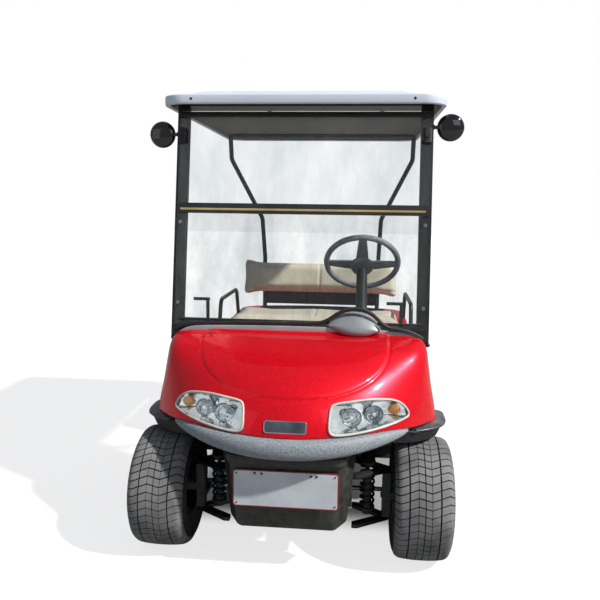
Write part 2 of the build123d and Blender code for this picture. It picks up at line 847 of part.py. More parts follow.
# cross tubes under the skin that join the struts
tube_radius = 12.0
tube_z = roof_top_z - roof_skin - gap - tube_radius
tube_half = roof_half_width - 2 * roof_skin - 8
head_tube_y = screen_head[0] + strut_depth / 2
head_tube = rod((-tube_half, head_tube_y, tube_z), (tube_half, head_tube_y, tube_z), tube_radius)
parts["front_struts"] = parts["front_struts"] + head_tube

# ---------------------------------------------------------------- rear body
tail_y = rear_y - rear_stand
rear_rows = (
    # height, half width, shoulder y, tail y, corner radius
    (cowl_low, 546.0, tail_y - 216, tail_y - 16, 150.0),
    (450.0, 556.0, tail_y - 216, tail_y, 160.0),
    (560.0, 552.0, tail_y - 221, tail_y - 8, 155.0),
    (640.0, 534.0, tail_y - 231, tail_y - 40, 140.0),
)
rear_solid = bowed_body(rear_rows, seat_front_y)
rear_inside = bowed_body(rear_rows, seat_front_y - 1, wall)
rear_inside = rear_inside + bowed_body(
    [(row[0] - 2 * wall, *row[1:]) for row in rear_rows[:2]], seat_front_y - 1, wall
)
rear_side = side_cut(
    [
        (seat_front_y, cowl_low),
        (seat_front_y, deck_z),
        (back_front_y, deck_z),
        (back_front_y + 60, 640.0),
        (rear_y, 640.0),
        (rear_y, cowl_low),
    ],
    (-700, 700),
)
rear_arch = Pos(0, rear_axle_y, axle_z) * Rot(0, 90, 0) * Cylinder(rear_arch_radius, 1400)
rear_shell = (rear_solid & rear_side) - (rear_inside & Pos(0, 0, -wall) * rear_side)
seat_box = block((-430, 430), (seat_front_y - 2, back_front_y - 28), (420, deck_z + 2))
rear_shell = rear_shell - rear_arch - seat_box
rear_shell = rear_shell - block((-420, 420), (well_front_y, rear_y + 2), (470, 700))
parts["rear_body"] = rear_shell
panel_span = (seat_panel_y, seat_front_y - gap)
seat_base = block((-540, 540), panel_span, (floor_top + gap, deck_z - 8))
floor_end = block((-floor_half_width, floor_half_width), panel_span, (floor_z, floor_top + gap))
parts["seat_base"] = seat_base + floor_end
battery_span = (seat_front_y + 22, kick_start - 21)
parts["battery_block"] = block((-330, 330), battery_span, (rail_top + gap, 560))
well_box = block(
    (-420 + gap, 420 - gap), (well_front_y + gap, rear_y), (well_floor_z - wall, 640)
)
well_hollow = block((-416, 416), (well_front_y + wall, rear_y + 1), (well_floor_z, 700))
top_row = rear_rows[-1]
well_room = bowed_section(
    well_floor_z,
    top_row[1] - 3 * wall,
    top_row[2],
    top_row[3] - 3 * wall,
    top_row[4] - 3 * wall,
    seat_front_y,
)
bag_well = (well_box & rear_solid) - (well_hollow & extrude(well_room, 230))
for bolt_x in (-bolt_spacing_x / 2, bolt_spacing_x / 2):
    for bolt_y in (-bolt_spacing_y / 2, bolt_spacing_y / 2):
        hole = Cylinder(bolt_hole_radius, 3 * wall)
        bag_well = bag_well - Pos(bolt_x, bolt_centre_y + bolt_y, well_floor_z) * hole
parts["bag_well"] = bag_well

stand_rows = [
    (row[0], row[1] + rear_stand, row[2], row[3] + rear_stand, row[4]) for row in rear_rows
]
rear_grown = bowed_body(stand_rows, seat_front_y)
rear_bumper = rear_grown & block((-470, 470), (rear_y - 294, rear_y + 30), (330, 450))
parts["rear_bumper"] = rear_bumper - rear_solid
flare_ring = Pos(0, rear_axle_y, axle_z) * Rot(0, 90, 0) * Cylinder(rear_arch_radius + 26, 1400)
rear_flares = ((flare_ring - rear_arch) & rear_grown) - rear_solid
rear_flares = rear_flares - block((-700, 700), (0, rear_y), (0, cowl_low))
parts["rear_flares"] = rear_flares - parts["rear_bumper"]
lamp_rows = [(row[0], row[1] + 5, row[2], row[3] + 5, row[4]) for row in rear_rows]
lamp_blocks = both_sides(block((436, 500), (rear_y - 194, rear_y + 30), (520, 600)))
parts["tail_lamps"] = (bowed_body(lamp_rows, seat_front_y) & lamp_blocks) - rear_solid

# ---------------------------------------------------------------- seat
pan_low = deck_z + gap
cushion_low = pan_low + seat_pan_thickness + gap
seat_y = (seat_panel_y - 12, seat_panel_y - 12 + seat_depth)
cushion_levels = (cushion_low, cushion_low + seat_thickness)
cushion = block((-seat_half_width, seat_half_width), seat_y, cushion_levels)
parts["seat_cushion"] = fillet(cushion.edges(), 24)
pan = block(
    (-seat_half_width + 30, seat_half_width - 30),
    (seat_y[0] + 30, seat_y[1] - 10),
    (pan_low, pan_low + seat_pan_thickness),
)
hinge_wall = 5.0
barrel_radius = seat_hinge_radius + hinge_wall
hinge_y = seat_y[1] + barrel_radius + 1
hinge_z = pan_low + barrel_radius
hinge_x = seat_half_width - 45
barrel_length = 30.0
ear_thickness = 6.0
barrel = block(
    (hinge_x - barrel_length / 2, hinge_x + barrel_length / 2),
    (seat_y[1] - 20, hinge_y),
    (pan_low, pan_low + seat_pan_thickness),
)
barrel = barrel + Pos(hinge_x, hinge_y, hinge_z) * Rot(0, 90, 0) * Cylinder(barrel_radius, barrel_length)
barrel_bore = Pos(hinge_x, hinge_y, hinge_z) * Rot(0, 90, 0) * Cylinder(
    seat_hinge_radius + shaft_gap, barrel_length + 2
)
parts["seat_pan"] = pan + both_sides(barrel - barrel_bore)
ear_x = barrel_length / 2 + gap
hinge_ears = [
    block(
        (hinge_x + offset, hinge_x + offset + ear_thickness),
        (hinge_y - barrel_radius, hinge_y + barrel_radius),
        (deck_z, hinge_z + barrel_radius),
    )
    for offset in (ear_x, -ear_x - ear_thickness)
]
hinge_pin = rod(
    (hinge_x - ear_x - ear_thickness, hinge_y, hinge_z),
    (hinge_x + ear_x + ear_thickness, hinge_y, hinge_z),
    seat_hinge_radius,
)
parts["seat_hinges"] = both_sides(hinge_ears[0] + hinge_ears[1] + hinge_pin)

back_cushion = Pos(0, back_front_y, back_low_z) * Rot(-back_lean, 0, 0) * Pos(
    0, back_thickness / 2, back_height / 2
) * Box(2 * seat_half_width, back_thickness, back_height)
parts["seat_back"] = fillet(back_cushion.edges(), 26)

# ---------------------------------------------------------------- rear struts and rests
strut_foot_y = rear_y - 394
rear_strut_points = (
    (530.0, strut_foot_y - 240, tube_z),
    (530.0, strut_foot_y - 210, 1590.0),
    (365.0, strut_foot_y - 75, 1245.0),
    (358.0, strut_foot_y, 1000.0),
    (358.0, strut_foot_y, 640.0),
)
rear_strut = bent_tube(rear_strut_points, 60, 13)
back_bracket = block((345, 371), (strut_foot_y - 100, strut_foot_y), (880, 920)) - back_cushion
cross_bar = rod((-358, strut_foot_y, 900), (358, strut_foot_y, 900), 12)
tail_tube_y = rear_strut_points[0][1]
tail_tube = rod((-tube_half, tail_tube_y, tube_z), (tube_half, tail_tube_y, tube_z), tube_radius)
parts["rear_struts"] = both_sides(rear_strut + back_bracket) + cross_bar + tail_tube
rest_x = seat_half_width + 24
rest_points = (
    (rest_x, strut_foot_y - 40, 640.0 + gap),
    (rest_x, strut_foot_y - 100, 800.0),
    (rest_x, seat_front_y + 132, 800.0),
    (rest_x, seat_front_y + 72, deck_z + gap),
)
parts["hip_restraints"] = both_sides(bent_tube(rest_points, 50, 11)) - rear_shell

# ---------------------------------------------------------------- steering wheel
wheel_plane = Plane(origin=wheel_hub, z_dir=column_dir)
ring_radius = steering_wheel_radius - grip_radius
grip = wheel_plane.location * Torus(ring_radius, grip_radius)
hub = wheel_plane.location * Pos(0, 0, -22) * Cylinder(52, 30)
cross_spoke = Box(2 * ring_radius, 34, 8)
down_spoke = Pos(0, -ring_radius / 2, 0) * Box(34, ring_radius, 8)
spokes = wheel_plane.location * Pos(0, 0, -12) * (cross_spoke + down_spoke)
shaft = rod(tuple(column_foot), tuple(wheel_hub - column_dir * 30), steering_shaft_radius)
parts["steering_wheel"] = grip + hub + spokes + shaft
column = rod(tuple(column_foot), tuple(column_head), column_radius)
column = column - rod(
    tuple(column_foot - column_dir), tuple(wheel_hub), steering_shaft_radius + shaft_gap
)
parts["steering_column"] = column

# ---------------------------------------------------------------- basket and pedals
basket_front_y = strut_foot_y + 13
basket_rear_y = strut_foot_y + 140
basket_outer = block((-372, 372), (basket_front_y + gap, basket_rear_y), (700, 800))
basket_inner = block(
    (-368, 368), (basket_front_y + wall, basket_rear_y - wall), (700 + wall, 801)
)
parts["sweater_basket"] = basket_outer - basket_inner
pedal_lean = 38.0
pedal_y = dash_y + 38
pedal_rows = (
    # x, width, height
    (120.0, 84.0, 70.0),
    (214.0, 60.0, 120.0),
)
pedals = []
for pedal_x, pedal_width, pedal_height in pedal_rows:
    pad = Pos(pedal_x, pedal_y, 400) * Rot(pedal_lean, 0, 0) * Box(pedal_width, 8, pedal_height)
    arm = rod((pedal_x, pedal_y, 400), (pedal_x, bulkhead_y + 2, 520), 8)
    pedals.append(pad + (arm - parts["floor_pan"]))
parts["pedals"] = pedals[0] + pedals[1]

# ---------------------------------------------------------------- mirrors
mirror_parts = []
for side, height in mirror_heights.items():
    head = Pos(side * mirror_x, mirror_y, height) * Rot(90, 0, 0) * Cylinder(mirror_radius, mirror_depth)
    arm = rod(
        (side * (strut_x + strut_width / 2 + gap), mirror_y, height),
        (side * (mirror_x - mirror_radius + 4), mirror_y, height),
        6,
    )
    mirror_parts.append(head + arm)
parts["mirrors"] = mirror_parts[0] + mirror_parts[1]

os.makedirs("parts", exist_ok=True)
for node, shape in parts.items():
    export_step(shape, f"parts/{node}.step")
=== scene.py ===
# %% [markdown]
# # Golf cart
# The cart's frame, axles and panels come as finished CAD solids, in metres, with +Z up, the nose towards -Y
# and the driver on the +X side. This notebook dresses them: it gives every solid a finish, and it models
# the soft, curved and patterned pieces that CAD solids only stand for, such as tyres, seats, lamps and the
# painted cowl.
# %% Load the frame
import math
import bpy
import bmesh
from mathutils import Matrix, Vector


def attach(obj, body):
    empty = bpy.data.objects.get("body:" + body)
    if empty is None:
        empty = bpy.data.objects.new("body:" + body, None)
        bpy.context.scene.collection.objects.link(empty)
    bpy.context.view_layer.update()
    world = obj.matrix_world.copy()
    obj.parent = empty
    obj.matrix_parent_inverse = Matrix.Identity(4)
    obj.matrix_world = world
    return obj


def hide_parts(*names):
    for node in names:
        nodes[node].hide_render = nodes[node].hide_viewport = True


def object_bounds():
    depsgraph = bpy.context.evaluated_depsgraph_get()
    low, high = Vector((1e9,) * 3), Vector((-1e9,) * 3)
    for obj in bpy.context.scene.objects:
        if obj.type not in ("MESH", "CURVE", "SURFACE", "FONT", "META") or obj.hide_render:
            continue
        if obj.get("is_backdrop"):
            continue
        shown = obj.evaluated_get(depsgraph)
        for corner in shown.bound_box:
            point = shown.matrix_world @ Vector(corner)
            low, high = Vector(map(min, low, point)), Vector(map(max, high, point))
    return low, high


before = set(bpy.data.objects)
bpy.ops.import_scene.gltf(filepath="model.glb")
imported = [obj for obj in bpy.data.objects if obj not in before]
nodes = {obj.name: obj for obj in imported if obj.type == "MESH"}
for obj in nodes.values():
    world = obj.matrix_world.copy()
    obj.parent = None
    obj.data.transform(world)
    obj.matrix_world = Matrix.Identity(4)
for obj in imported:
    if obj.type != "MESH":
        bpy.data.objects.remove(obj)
cad_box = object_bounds()
scene = bpy.context.scene

# %% [markdown]
# Two small habits save much trouble. Every operator works on whatever is selected, so each step first
# clears the selection. And a vertex, edge or face is picked by where it lies and which way it faces,
# because nobody clicks here.
# %% Selecting and shaping helpers
def clear_selection():
    if bpy.context.object and bpy.context.object.mode != "OBJECT":
        bpy.ops.object.mode_set(mode="OBJECT")
    bpy.ops.object.select_all(action="DESELECT")


def select_only(piece):
    """Leave object mode clean, with one piece selected and active."""
    clear_selection()
    piece.select_set(True)
    bpy.context.view_layer.objects.active = piece
    return piece


def named(name):
    """Name the primitive that was just added."""
    piece = bpy.context.object
    piece.name = name
    piece.data.name = name
    return select_only(piece)


def pick(piece, mode, test):
    """In edit mode, select the vertices, edges or faces for which test(place, normal) holds."""
    select_only(piece)
    bpy.ops.object.mode_set(mode="EDIT")
    bpy.ops.mesh.select_mode(type=mode)
    bpy.ops.mesh.select_all(action="DESELECT")
    mesh = bmesh.from_edit_mesh(piece.data)
    for item in {"VERT": mesh.verts, "EDGE": mesh.edges, "FACE": mesh.faces}[mode]:
        if mode == "VERT":
            place, normal = item.co, item.normal
        elif mode == "EDGE":
            place = (item.verts[0].co + item.verts[1].co) / 2
            normal = (item.verts[0].co - item.verts[1].co).normalized()
        else:
            place, normal = item.calc_center_median(), item.normal
        item.select_set(bool(test(place, normal)))
    mesh.select_flush_mode()
    bmesh.update_edit_mesh(piece.data)


def everything(place, normal):
    return True


def leave_edit():
    bpy.ops.object.mode_set(mode="OBJECT")


def reshape(piece, mode, test, operator, **settings):
    """Pick part of a piece, run one edit operator on it and go back to object mode."""
    pick(piece, mode, test)
    operator(**settings)
    leave_edit()


def modify(piece, kind, **settings):
    """Add a modifier, set it and apply it."""
    select_only(piece)
    modifier = piece.modifiers.new(kind.title(), kind)
    for key, value in settings.items():
        setattr(modifier, key, value)
    bpy.ops.object.modifier_apply(modifier=modifier.name)
    return piece


def bake_place(piece):
    """Put the piece's place, turn and scale into its mesh."""
    select_only(piece)
    bpy.ops.object.transform_apply(location=True, rotation=True, scale=True)
    return piece


def face_outwards(piece):
    reshape(piece, "FACE", everything, bpy.ops.mesh.normals_make_consistent, inside=False)
    return piece


def outward(piece):
    """Merge doubled points and make every face look outwards."""
    reshape(piece, "VERT", everything, bpy.ops.mesh.remove_doubles, threshold=1e-5)
    return face_outwards(piece)


def cut(piece, cutter, operation="DIFFERENCE"):
    """Boolean with a cutter, which is deleted afterwards."""
    modify(piece, "BOOLEAN", object=cutter, operation=operation, solver="EXACT")
    bpy.data.objects.remove(cutter)
    return piece


def join(name, *pieces):
    """Join pieces into one mesh."""
    select_only(pieces[0])
    for piece in pieces[1:]:
        piece.select_set(True)
    bpy.ops.object.join()
    return named(name)


def copy_of(piece, name):
    """A copy with its own mesh."""
    select_only(piece)
    bpy.ops.object.duplicate()
    return named(name)


def twin(piece, name="twin"):
    """A mirror image across the cart."""
    copy = copy_of(piece, name)
    copy.scale.x = -1
    return face_outwards(bake_place(copy))


def with_twin(name, piece):
    """A piece joined with its mirror image."""
    return join(name, piece, twin(piece))


def finish(piece, body, material, slot, replaced=(), degrees=35):
    """Place in the mesh, smooth shading, material, body and the CAD nodes it stands for."""
    bake_place(piece)
    bpy.ops.object.shade_smooth_by_angle(angle=math.radians(degrees))
    piece.data.materials.clear()
    for entry in material if isinstance(material, (list, tuple)) else [material]:
        piece.data.materials.append(entry)
    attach(piece, body)
    if replaced:
        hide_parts(*replaced)
    print(f"{piece.name}: {len(piece.data.polygons)} faces on {body}")
    return piece

# %% [markdown]
# Some pieces are easiest to draw as an outline that is pushed, swept or turned. Outlines are written in
# millimetres, as they come off a tape measure, and become metres when the mesh is made.
# %% Outline helpers
MM = 0.001


def solid(name, points, faces):
    """A closed mesh from points in millimetres, with its faces looking outwards."""
    mesh = bpy.data.meshes.new(name)
    mesh.from_pydata([Vector(point) * MM for point in points], [], faces)
    piece = bpy.data.objects.new(name, mesh)
    scene.collection.objects.link(piece)
    return outward(piece)


def skin(name, rows, loop=False):
    """Quads between rows of points. Each row is a closed ring; loop joins the last row to the first."""
    count = len(rows[0])
    points = [point for row in rows for point in row]
    faces = []
    for first in range(len(rows) if loop else len(rows) - 1):
        second = (first + 1) % len(rows)
        for step in range(count):
            after = (step + 1) % count
            faces.append((first * count + step, first * count + after, second * count + after,
                          second * count + step))
    if not loop:
        faces.append(tuple(range(count))[::-1])
        faces.append(tuple(range(len(points) - count, len(points))))
    return solid(name, points, faces)


def prism(name, outline, axis, span):
    """An outline in the two other axes, pushed along an axis from one end of the span to the other."""
    rows = []
    for level in span:
        rows.append([{"X": (level, a, b), "Y": (a, level, b), "Z": (a, b, level)}[axis] for a, b in outline])
    return skin(name, rows)


def box_of(name, x_span, y_span, z_span):
    """A cube primitive stretched over three spans in millimetres."""
    clear_selection()
    bpy.ops.mesh.primitive_cube_add(size=1)
    piece = named(name)
    spans = (x_span, y_span, z_span)
    piece.scale = [(high - low) * MM for low, high in spans]
    piece.location = [(high + low) / 2 * MM for low, high in spans]
    return bake_place(piece)


def rod(name, start, end, radius, sides=24, end_radius=None):
    """A round bar between two points, in millimetres."""
    clear_selection()
    start, end = Vector(start) * MM, Vector(end) * MM
    end_radius = radius if end_radius is None else end_radius
    bpy.ops.mesh.primitive_cone_add(vertices=sides, radius1=radius * MM, radius2=end_radius * MM,
                                    depth=(end - start).length)
    piece = named(name)
    piece.location = (start + end) / 2
    piece.rotation_euler = (end - start).to_track_quat("Z", "Y").to_euler()
    return bake_place(piece)


def swept(name, path, profile, up=(0, 0, 1), loop=False, sizes=None):
    """A profile of (sideways, upwards) points carried along a path. sizes swells or tapers it on the way."""
    path = [Vector(point) for point in path]
    rows = []
    for index, point in enumerate(path):
        before = path[index - 1] if loop or index else point
        after = path[(index + 1) % len(path)] if loop or index < len(path) - 1 else point
        along = (after - before).normalized()
        side = along.cross(Vector(up)).normalized()
        rise = side.cross(along)
        size = sizes[index] if sizes else 1.0
        rows.append([point + side * a * size + rise * b * size for a, b in profile])
    return skin(name, rows, loop)


def turned(name, outline, steps, axis="X", centre=(0, 0, 0)):
    """A closed outline of (along, radius) points turned about an X or Y line through the centre."""
    middle_x, middle_y, middle_z = centre
    rows = []
    for a, b in circle(1, steps):
        if axis == "X":
            rows.append([(middle_x + x, middle_y + r * a, middle_z + r * b) for x, r in outline])
        else:
            rows.append([(middle_x + r * a, middle_y + y, middle_z + r * b) for y, r in outline])
    return skin(name, rows, loop=True)


def circle(radius, count):
    """A circle about the origin, as an outline."""
    turns = [math.tau * i / count for i in range(count)]
    return [(radius * math.cos(turn), radius * math.sin(turn)) for turn in turns]


def stacked(name, rings, centre=(0, 0), count=48):
    """Level rings of (radius, height), one on top of the other."""
    rows = []
    for radius, height in rings:
        rows.append([(centre[0] + a, centre[1] + b, height) for a, b in circle(radius, count)])
    return skin(name, rows)


def rounded_box(width, height, corner, steps=4):
    """A rounded rectangle about the origin, as an outline."""
    points = []
    for turn, (sx, sy) in enumerate(((1, 1), (-1, 1), (-1, -1), (1, -1))):
        for step in range(steps + 1):
            angle = math.pi / 2 * (turn + step / steps)
            points.append((sx * (width / 2 - corner) + corner * math.cos(angle),
                           sy * (height / 2 - corner) + corner * math.sin(angle)))
    return points


def curve_through(points, steps, loop=False):
    """A smooth curve through points (Catmull-Rom), with a few steps between each pair."""
    points = [Vector(point) for point in points]
    count = len(points)
    result = []
    for index in range(count if loop else count - 1):
        if loop:
            a, b, c, d = (points[(index + shift) % count] for shift in (-1, 0, 1, 2))
        else:
            a, b = points[max(index - 1, 0)], points[index]
            c, d = points[index + 1], points[min(index + 2, count - 1)]
        for step in range(steps):
            t = step / steps
            result.append(0.5 * (2 * b + (c - a) * t + (2 * a - 5 * b + 4 * c - d) * t**2
                                 + (3 * b - a - 3 * c + d) * t**3))
    if not loop:
        result.append(points[-1])
    return result


def smooth_outline(points, steps):
    """A smooth closed outline through (across, up) points."""
    return [(v.x, v.y) for v in curve_through([(*point, 0) for point in points], steps, loop=True)]


print("outline helpers ready")

# %% [markdown]
# ## Finishes
# Real surfaces are never one flat colour. Paint holds flakes and a clear coat, moulded plastic has a fine
# pebble and fades in patches, rubber is dusty in its low places. Each finish here is a Principled shader
# whose colour, roughness and bump come from noise on object coordinates, so it stays put when a wheel
# turns.
# %% Shader helpers
def paint(code):
    """A linear colour from a screen colour's six hexadecimal digits."""
    parts = [int(code[i:i + 2], 16) / 255 for i in (0, 2, 4)]
    return tuple(p / 12.92 if p <= 0.04045 else ((p + 0.055) / 1.055) ** 2.4 for p in parts) + (1.0,)


def add_node(tree, kind, inputs, **settings):
    """Add a node. Each input is a constant or a link from another node's output."""
    node = tree.nodes.new(kind)
    for key, value in settings.items():
        setattr(node, key, value)
    for key, value in inputs.items():
        if isinstance(value, bpy.types.NodeSocket):
            tree.links.new(value, node.inputs[key])
        else:
            node.inputs[key].default_value = value
    return node


class Shader:
    """One material under construction."""

    def __init__(self, name, **fixed):
        self.material = bpy.data.materials.new(name)
        self.material.use_nodes = True
        self.tree = self.material.node_tree
        self.surface = self.tree.nodes["Principled BSDF"]
        for key, value in fixed.items():
            self.surface.inputs[key.replace("_", " ")].default_value = value
        self.place = self.add("ShaderNodeTexCoord", {}).outputs["Object"]

    def add(self, kind, inputs, **settings):
        return add_node(self.tree, kind, inputs, **settings)

    def noise(self, scale, detail=3.0, rough=0.55, stretch=None):
        place = self.place
        if stretch:
            place = self.add("ShaderNodeMapping", {"Vector": place, "Scale": stretch}).outputs["Vector"]
        inputs = {"Vector": place, "Scale": scale, "Detail": detail, "Roughness": rough}
        return self.add("ShaderNodeTexNoise", inputs).outputs["Fac"]

    def cells(self, scale, output, feature="F1"):
        inputs = {"Vector": self.place, "Scale": scale}
        return self.add("ShaderNodeTexVoronoi", inputs, feature=feature).outputs[output]

    def part(self, colour, channel):
        """One channel of a colour."""
        return self.add("ShaderNodeSeparateColor", {"Color": colour}).outputs[channel]

    def ramp(self, factor, *stops):
        """stops: (position, colour), where the colour is a grey number or a linear colour."""
        node = self.add("ShaderNodeValToRGB", {"Fac": factor})
        while len(node.color_ramp.elements) < len(stops):
            node.color_ramp.elements.new(0.5)
        for element, (position, colour) in zip(node.color_ramp.elements, stops):
            element.position = position
            element.color = colour if isinstance(colour, tuple) else (colour, colour, colour, 1.0)
        return node.outputs["Color"]

    def mix(self, factor, first, second, blend="MIX"):
        inputs = {0: factor, 6: first, 7: second}
        return self.add("ShaderNodeMix", inputs, data_type="RGBA", blend_type=blend).outputs[2]

    def calculate(self, operation, *inputs):
        """A Math node on one or two numbers."""
        node = self.add("ShaderNodeMath", dict(enumerate(inputs)), operation=operation)
        return node.outputs["Value"]

    def drive(self, key, socket):
        self.tree.links.new(socket, self.surface.inputs[key])

    def bump(self, height, strength, distance):
        inputs = {"Height": height, "Strength": strength, "Distance": distance}
        self.drive("Normal", self.add("ShaderNodeBump", inputs).outputs["Normal"])


def worn(name, dark, light, rough, pebble, patch=6.0, grain=900.0, depth=0.0004, **fixed):
    """A moulded or painted finish: patchy colour, fine grain, uneven roughness and a light pebble."""
    shader = Shader(name, **fixed)
    broad = shader.noise(patch, 5.0)
    fine = shader.noise(grain, 2.0)
    tone = shader.mix(0.22, broad, fine)
    shader.drive("Base Color", shader.ramp(tone, (0.36, paint(dark)), (0.64, paint(light))))
    shader.drive("Roughness", shader.ramp(broad, (0.3, rough[0]), (0.7, rough[1])))
    if pebble:
        shader.bump(fine, pebble, depth)
    return shader.material


# %% [markdown]
# The cowl is painted in a deep red with fine metal flakes under a clear coat. The flakes are tiny cells:
# each one takes its own brightness, in places brighter than paint can reflect, so their glitter is painted
# glints on real flakes, while the coat gives the sharp highlight on top.
# %% Red paint
def red_paint():
    """Deep red with fine flakes, sparse larger flakes and a clear coat; the flakes' brightest cells are
    painted glints.
    """
    shader = Shader("paint_red", Metallic=0.5, IOR=1.3, Coat_Weight=0.8, Coat_Roughness=0.04, Coat_IOR=1.33)
    glitter = shader.part(shader.cells(1400.0, "Color"), "Red")
    base = shader.ramp(shader.noise(2.5, 3.0), (0.3, paint("da061a")), (0.7, paint("e80a22")))
    # cells brighter than the paint: real flakes carrying painted glints
    flake_glints = shader.ramp(glitter, (0.0, 0.82), (0.75, 1.0), (1.0, 1.35))
    large = shader.part(shader.cells(380.0, "Color"), "Green")
    sparse = shader.ramp(large, (0.0, 0.93), (0.88, 1.0), (0.95, 1.45))
    flakes = shader.mix(1.0, flake_glints, sparse, "MULTIPLY")
    shader.drive("Base Color", shader.mix(1.0, base, flakes, "MULTIPLY"))
    shader.drive("Roughness", shader.ramp(glitter, (0.0, 0.26), (1.0, 0.42)))
    return shader.material


red = red_paint()
print(red.name, "mixed")

# %% [markdown]
# The rest are quick to tell apart: pebbled black plastic, the speckled grey bumper, satin trim,
# dusty rubber, powder-coated and zinc-plated steel, cast iron, grained vinyl, and so on.
# %% Plastics, rubber and metals
black_plastic = worn("plastic_black", "17181a", "2c2d2e", rough=(0.42, 0.62), pebble=0.3)
grey_plastic = worn("plastic_grey", "5a626b", "949ba3", patch=240.0, grain=700.0, rough=(0.5, 0.7),
                    pebble=0.5, depth=0.0006)
valance_plastic = worn("valance_plastic", "1f201d", "3b3c37", patch=30.0, rough=(0.4, 0.55), pebble=0.35)
lip_plastic = worn("lip_plastic", "363a3d", "585c60", patch=20.0, rough=(0.3, 0.45), pebble=0.3)
dash_plastic = worn("plastic_dash", "2b2c2f", "47494d", rough=(0.38, 0.55), pebble=0.3)
cover_plastic = worn("plastic_cover", "646a71", "8a9097", rough=(0.22, 0.38), pebble=0.12)
trim_silver = worn("trim_silver", "8d9198", "b3b7bd", rough=(0.25, 0.4), pebble=0.1, Metallic=0.3)
# tan for the strip on the windscreen's hinge bar: a painted highlight
tan_highlight = worn("tan_highlight", "96875a", "bfae7c", rough=(0.25, 0.4), pebble=0.1, Metallic=0.2)
roof_plastic = worn("roof_plastic", "bcc5d3", "c9d2e0", patch=3.0, rough=(0.3, 0.5), pebble=0.15)
# dark olive for the roof's down-facing underside: painted shade
roof_underside_shade = worn("roof_underside_shade", "4a4a3c", "67665a", patch=2.5, rough=(0.5, 0.7), pebble=0.3)
tyre_rubber = worn("tyre_rubber", "505154", "78797b", patch=9.0, grain=500.0, rough=(0.72, 0.9), pebble=0.35,
                   depth=0.0005)
side_rubber = worn("side_rubber", "111213", "27282a", patch=7.0, rough=(0.55, 0.75), pebble=0.2)
seal_rubber = worn("seal_rubber", "0f1011", "232425", rough=(0.45, 0.65), pebble=0.2)
wheel_paint = worn("wheel_paint", "b9babb", "dcdddc", rough=(0.3, 0.5), pebble=0.1, Coat_Weight=0.3)
steel_black = worn("steel_black", "121314", "242628", rough=(0.3, 0.46), pebble=0.25, depth=0.0003)
frame_paint = worn("frame_paint", "1b1c1d", "3a3835", patch=10.0, rough=(0.45, 0.7), pebble=0.3)
zinc = worn("zinc", "7d8184", "b2b5b6", patch=40.0, rough=(0.28, 0.46), pebble=0.08, Metallic=0.9)
cast_iron = worn("cast_iron", "35373a", "5b5d5e", patch=18.0, grain=320.0, rough=(0.6, 0.8), pebble=0.6,
                 depth=0.0008, Metallic=0.3)
seat_board = worn("seat_board", "222324", "353638", rough=(0.55, 0.7), pebble=0.4)
battery_plastic = worn("battery_plastic", "26282c", "3c4046", rough=(0.4, 0.6), pebble=0.2)
grip_rubber = worn("grip_rubber", "5a5d62", "85888c", rough=(0.45, 0.6), pebble=0.35)
mirror_gloss = worn("mirror_gloss", "060607", "131416", rough=(0.06, 0.16), pebble=0.0, Coat_Weight=0.8)
mirror_face = worn("mirror_face", "c9cfd4", "dde2e5", patch=2.0, rough=(0.02, 0.06), pebble=0.0,
                   Metallic=1.0)
plate_enamel = worn("plate_enamel", "aab2ba", "c2cad1", patch=7.0, rough=(0.3, 0.45), pebble=0.08)
plate_border = worn("plate_border", "6d1a1f", "8b2429", patch=9.0, rough=(0.35, 0.5), pebble=0.1)
badge_dark = worn("badge_dark", "2a3038", "464e58", patch=14.0, rough=(0.18, 0.3), pebble=0.05,
                  Coat_Weight=0.5)
chrome = worn("chrome", "b0b8bf", "e2e6ea", patch=12.0, rough=(0.05, 0.14), pebble=0.0, Metallic=1.0)
bezel_plastic = worn("bezel_plastic", "a2a4a0", "bcbeb9", patch=14.0, rough=(0.3, 0.45), pebble=0.08)
amber_plastic = worn("amber_plastic", "ad641f", "dd9a4a", patch=30.0, rough=(0.15, 0.3), pebble=0.1)
lamp_red = worn("lamp_red", "74060b", "96090e", patch=60.0, rough=(0.1, 0.2), pebble=0.1, Coat_Weight=0.8)
print(len(bpy.data.materials), "finishes so far")

# %% [markdown]
# The windscreen and the lamp lenses are clear polycarbonate. A real sheet picks up dust and fine wiping
# marks, so its roughness wanders a little, and a trace of haze shows where light grazes it.
# %% Clear sheets
def clear_sheet(name, tint, haze):
    """Clear polycarbonate with wiping marks."""
    shader = Shader(name, Transmission_Weight=1.0, IOR=1.35)
    smear = shader.noise(5.0, 6.0, 0.7, stretch=(1.0, 1.0, 0.4))
    shader.drive("Roughness", shader.ramp(smear, (0.4, 0.0), (0.8, haze)))
    shader.drive("Base Color", shader.ramp(smear, (0.3, paint(tint)), (0.75, paint("ffffff"))))
    return shader.material


screen_clear = clear_sheet("screen_clear", "d0d9dd", 0.06)
screen_smoked = clear_sheet("screen_smoked", "b6c0c2", 0.06)
lens_clear = clear_sheet("lens_clear", "eef1ee", 0.03)
print("clear sheets", [sheet.name for sheet in (screen_clear, screen_smoked, lens_clear)])

# %% [markdown]
# Seat vinyl has a leather-like grain: small raised cells with narrow valleys between them, slightly darker
# in the valleys, and a satin sheen on top.
# %% Vinyl, floor rubber
def grained_vinyl(name, dark, light):
    """Vinyl with raised grain and slightly darker valleys."""
    shader = Shader(name, Coat_Weight=0.12, Coat_Roughness=0.35)
    edge = shader.cells(520.0, "Distance", "DISTANCE_TO_EDGE")
    valley = shader.ramp(edge, (0.0, 0.0), (0.16, 1.0))
    tone = shader.ramp(shader.noise(4.0, 5.0), (0.32, paint(dark)), (0.68, paint(light)))
    shader.drive("Base Color", shader.mix(valley, shader.mix(0.35, tone, paint("6b6459")), tone))
    shader.drive("Roughness", shader.ramp(shader.noise(9.0), (0.3, 0.38), (0.7, 0.55)))
    shader.bump(valley, 0.35, 0.0005)
    return shader.material


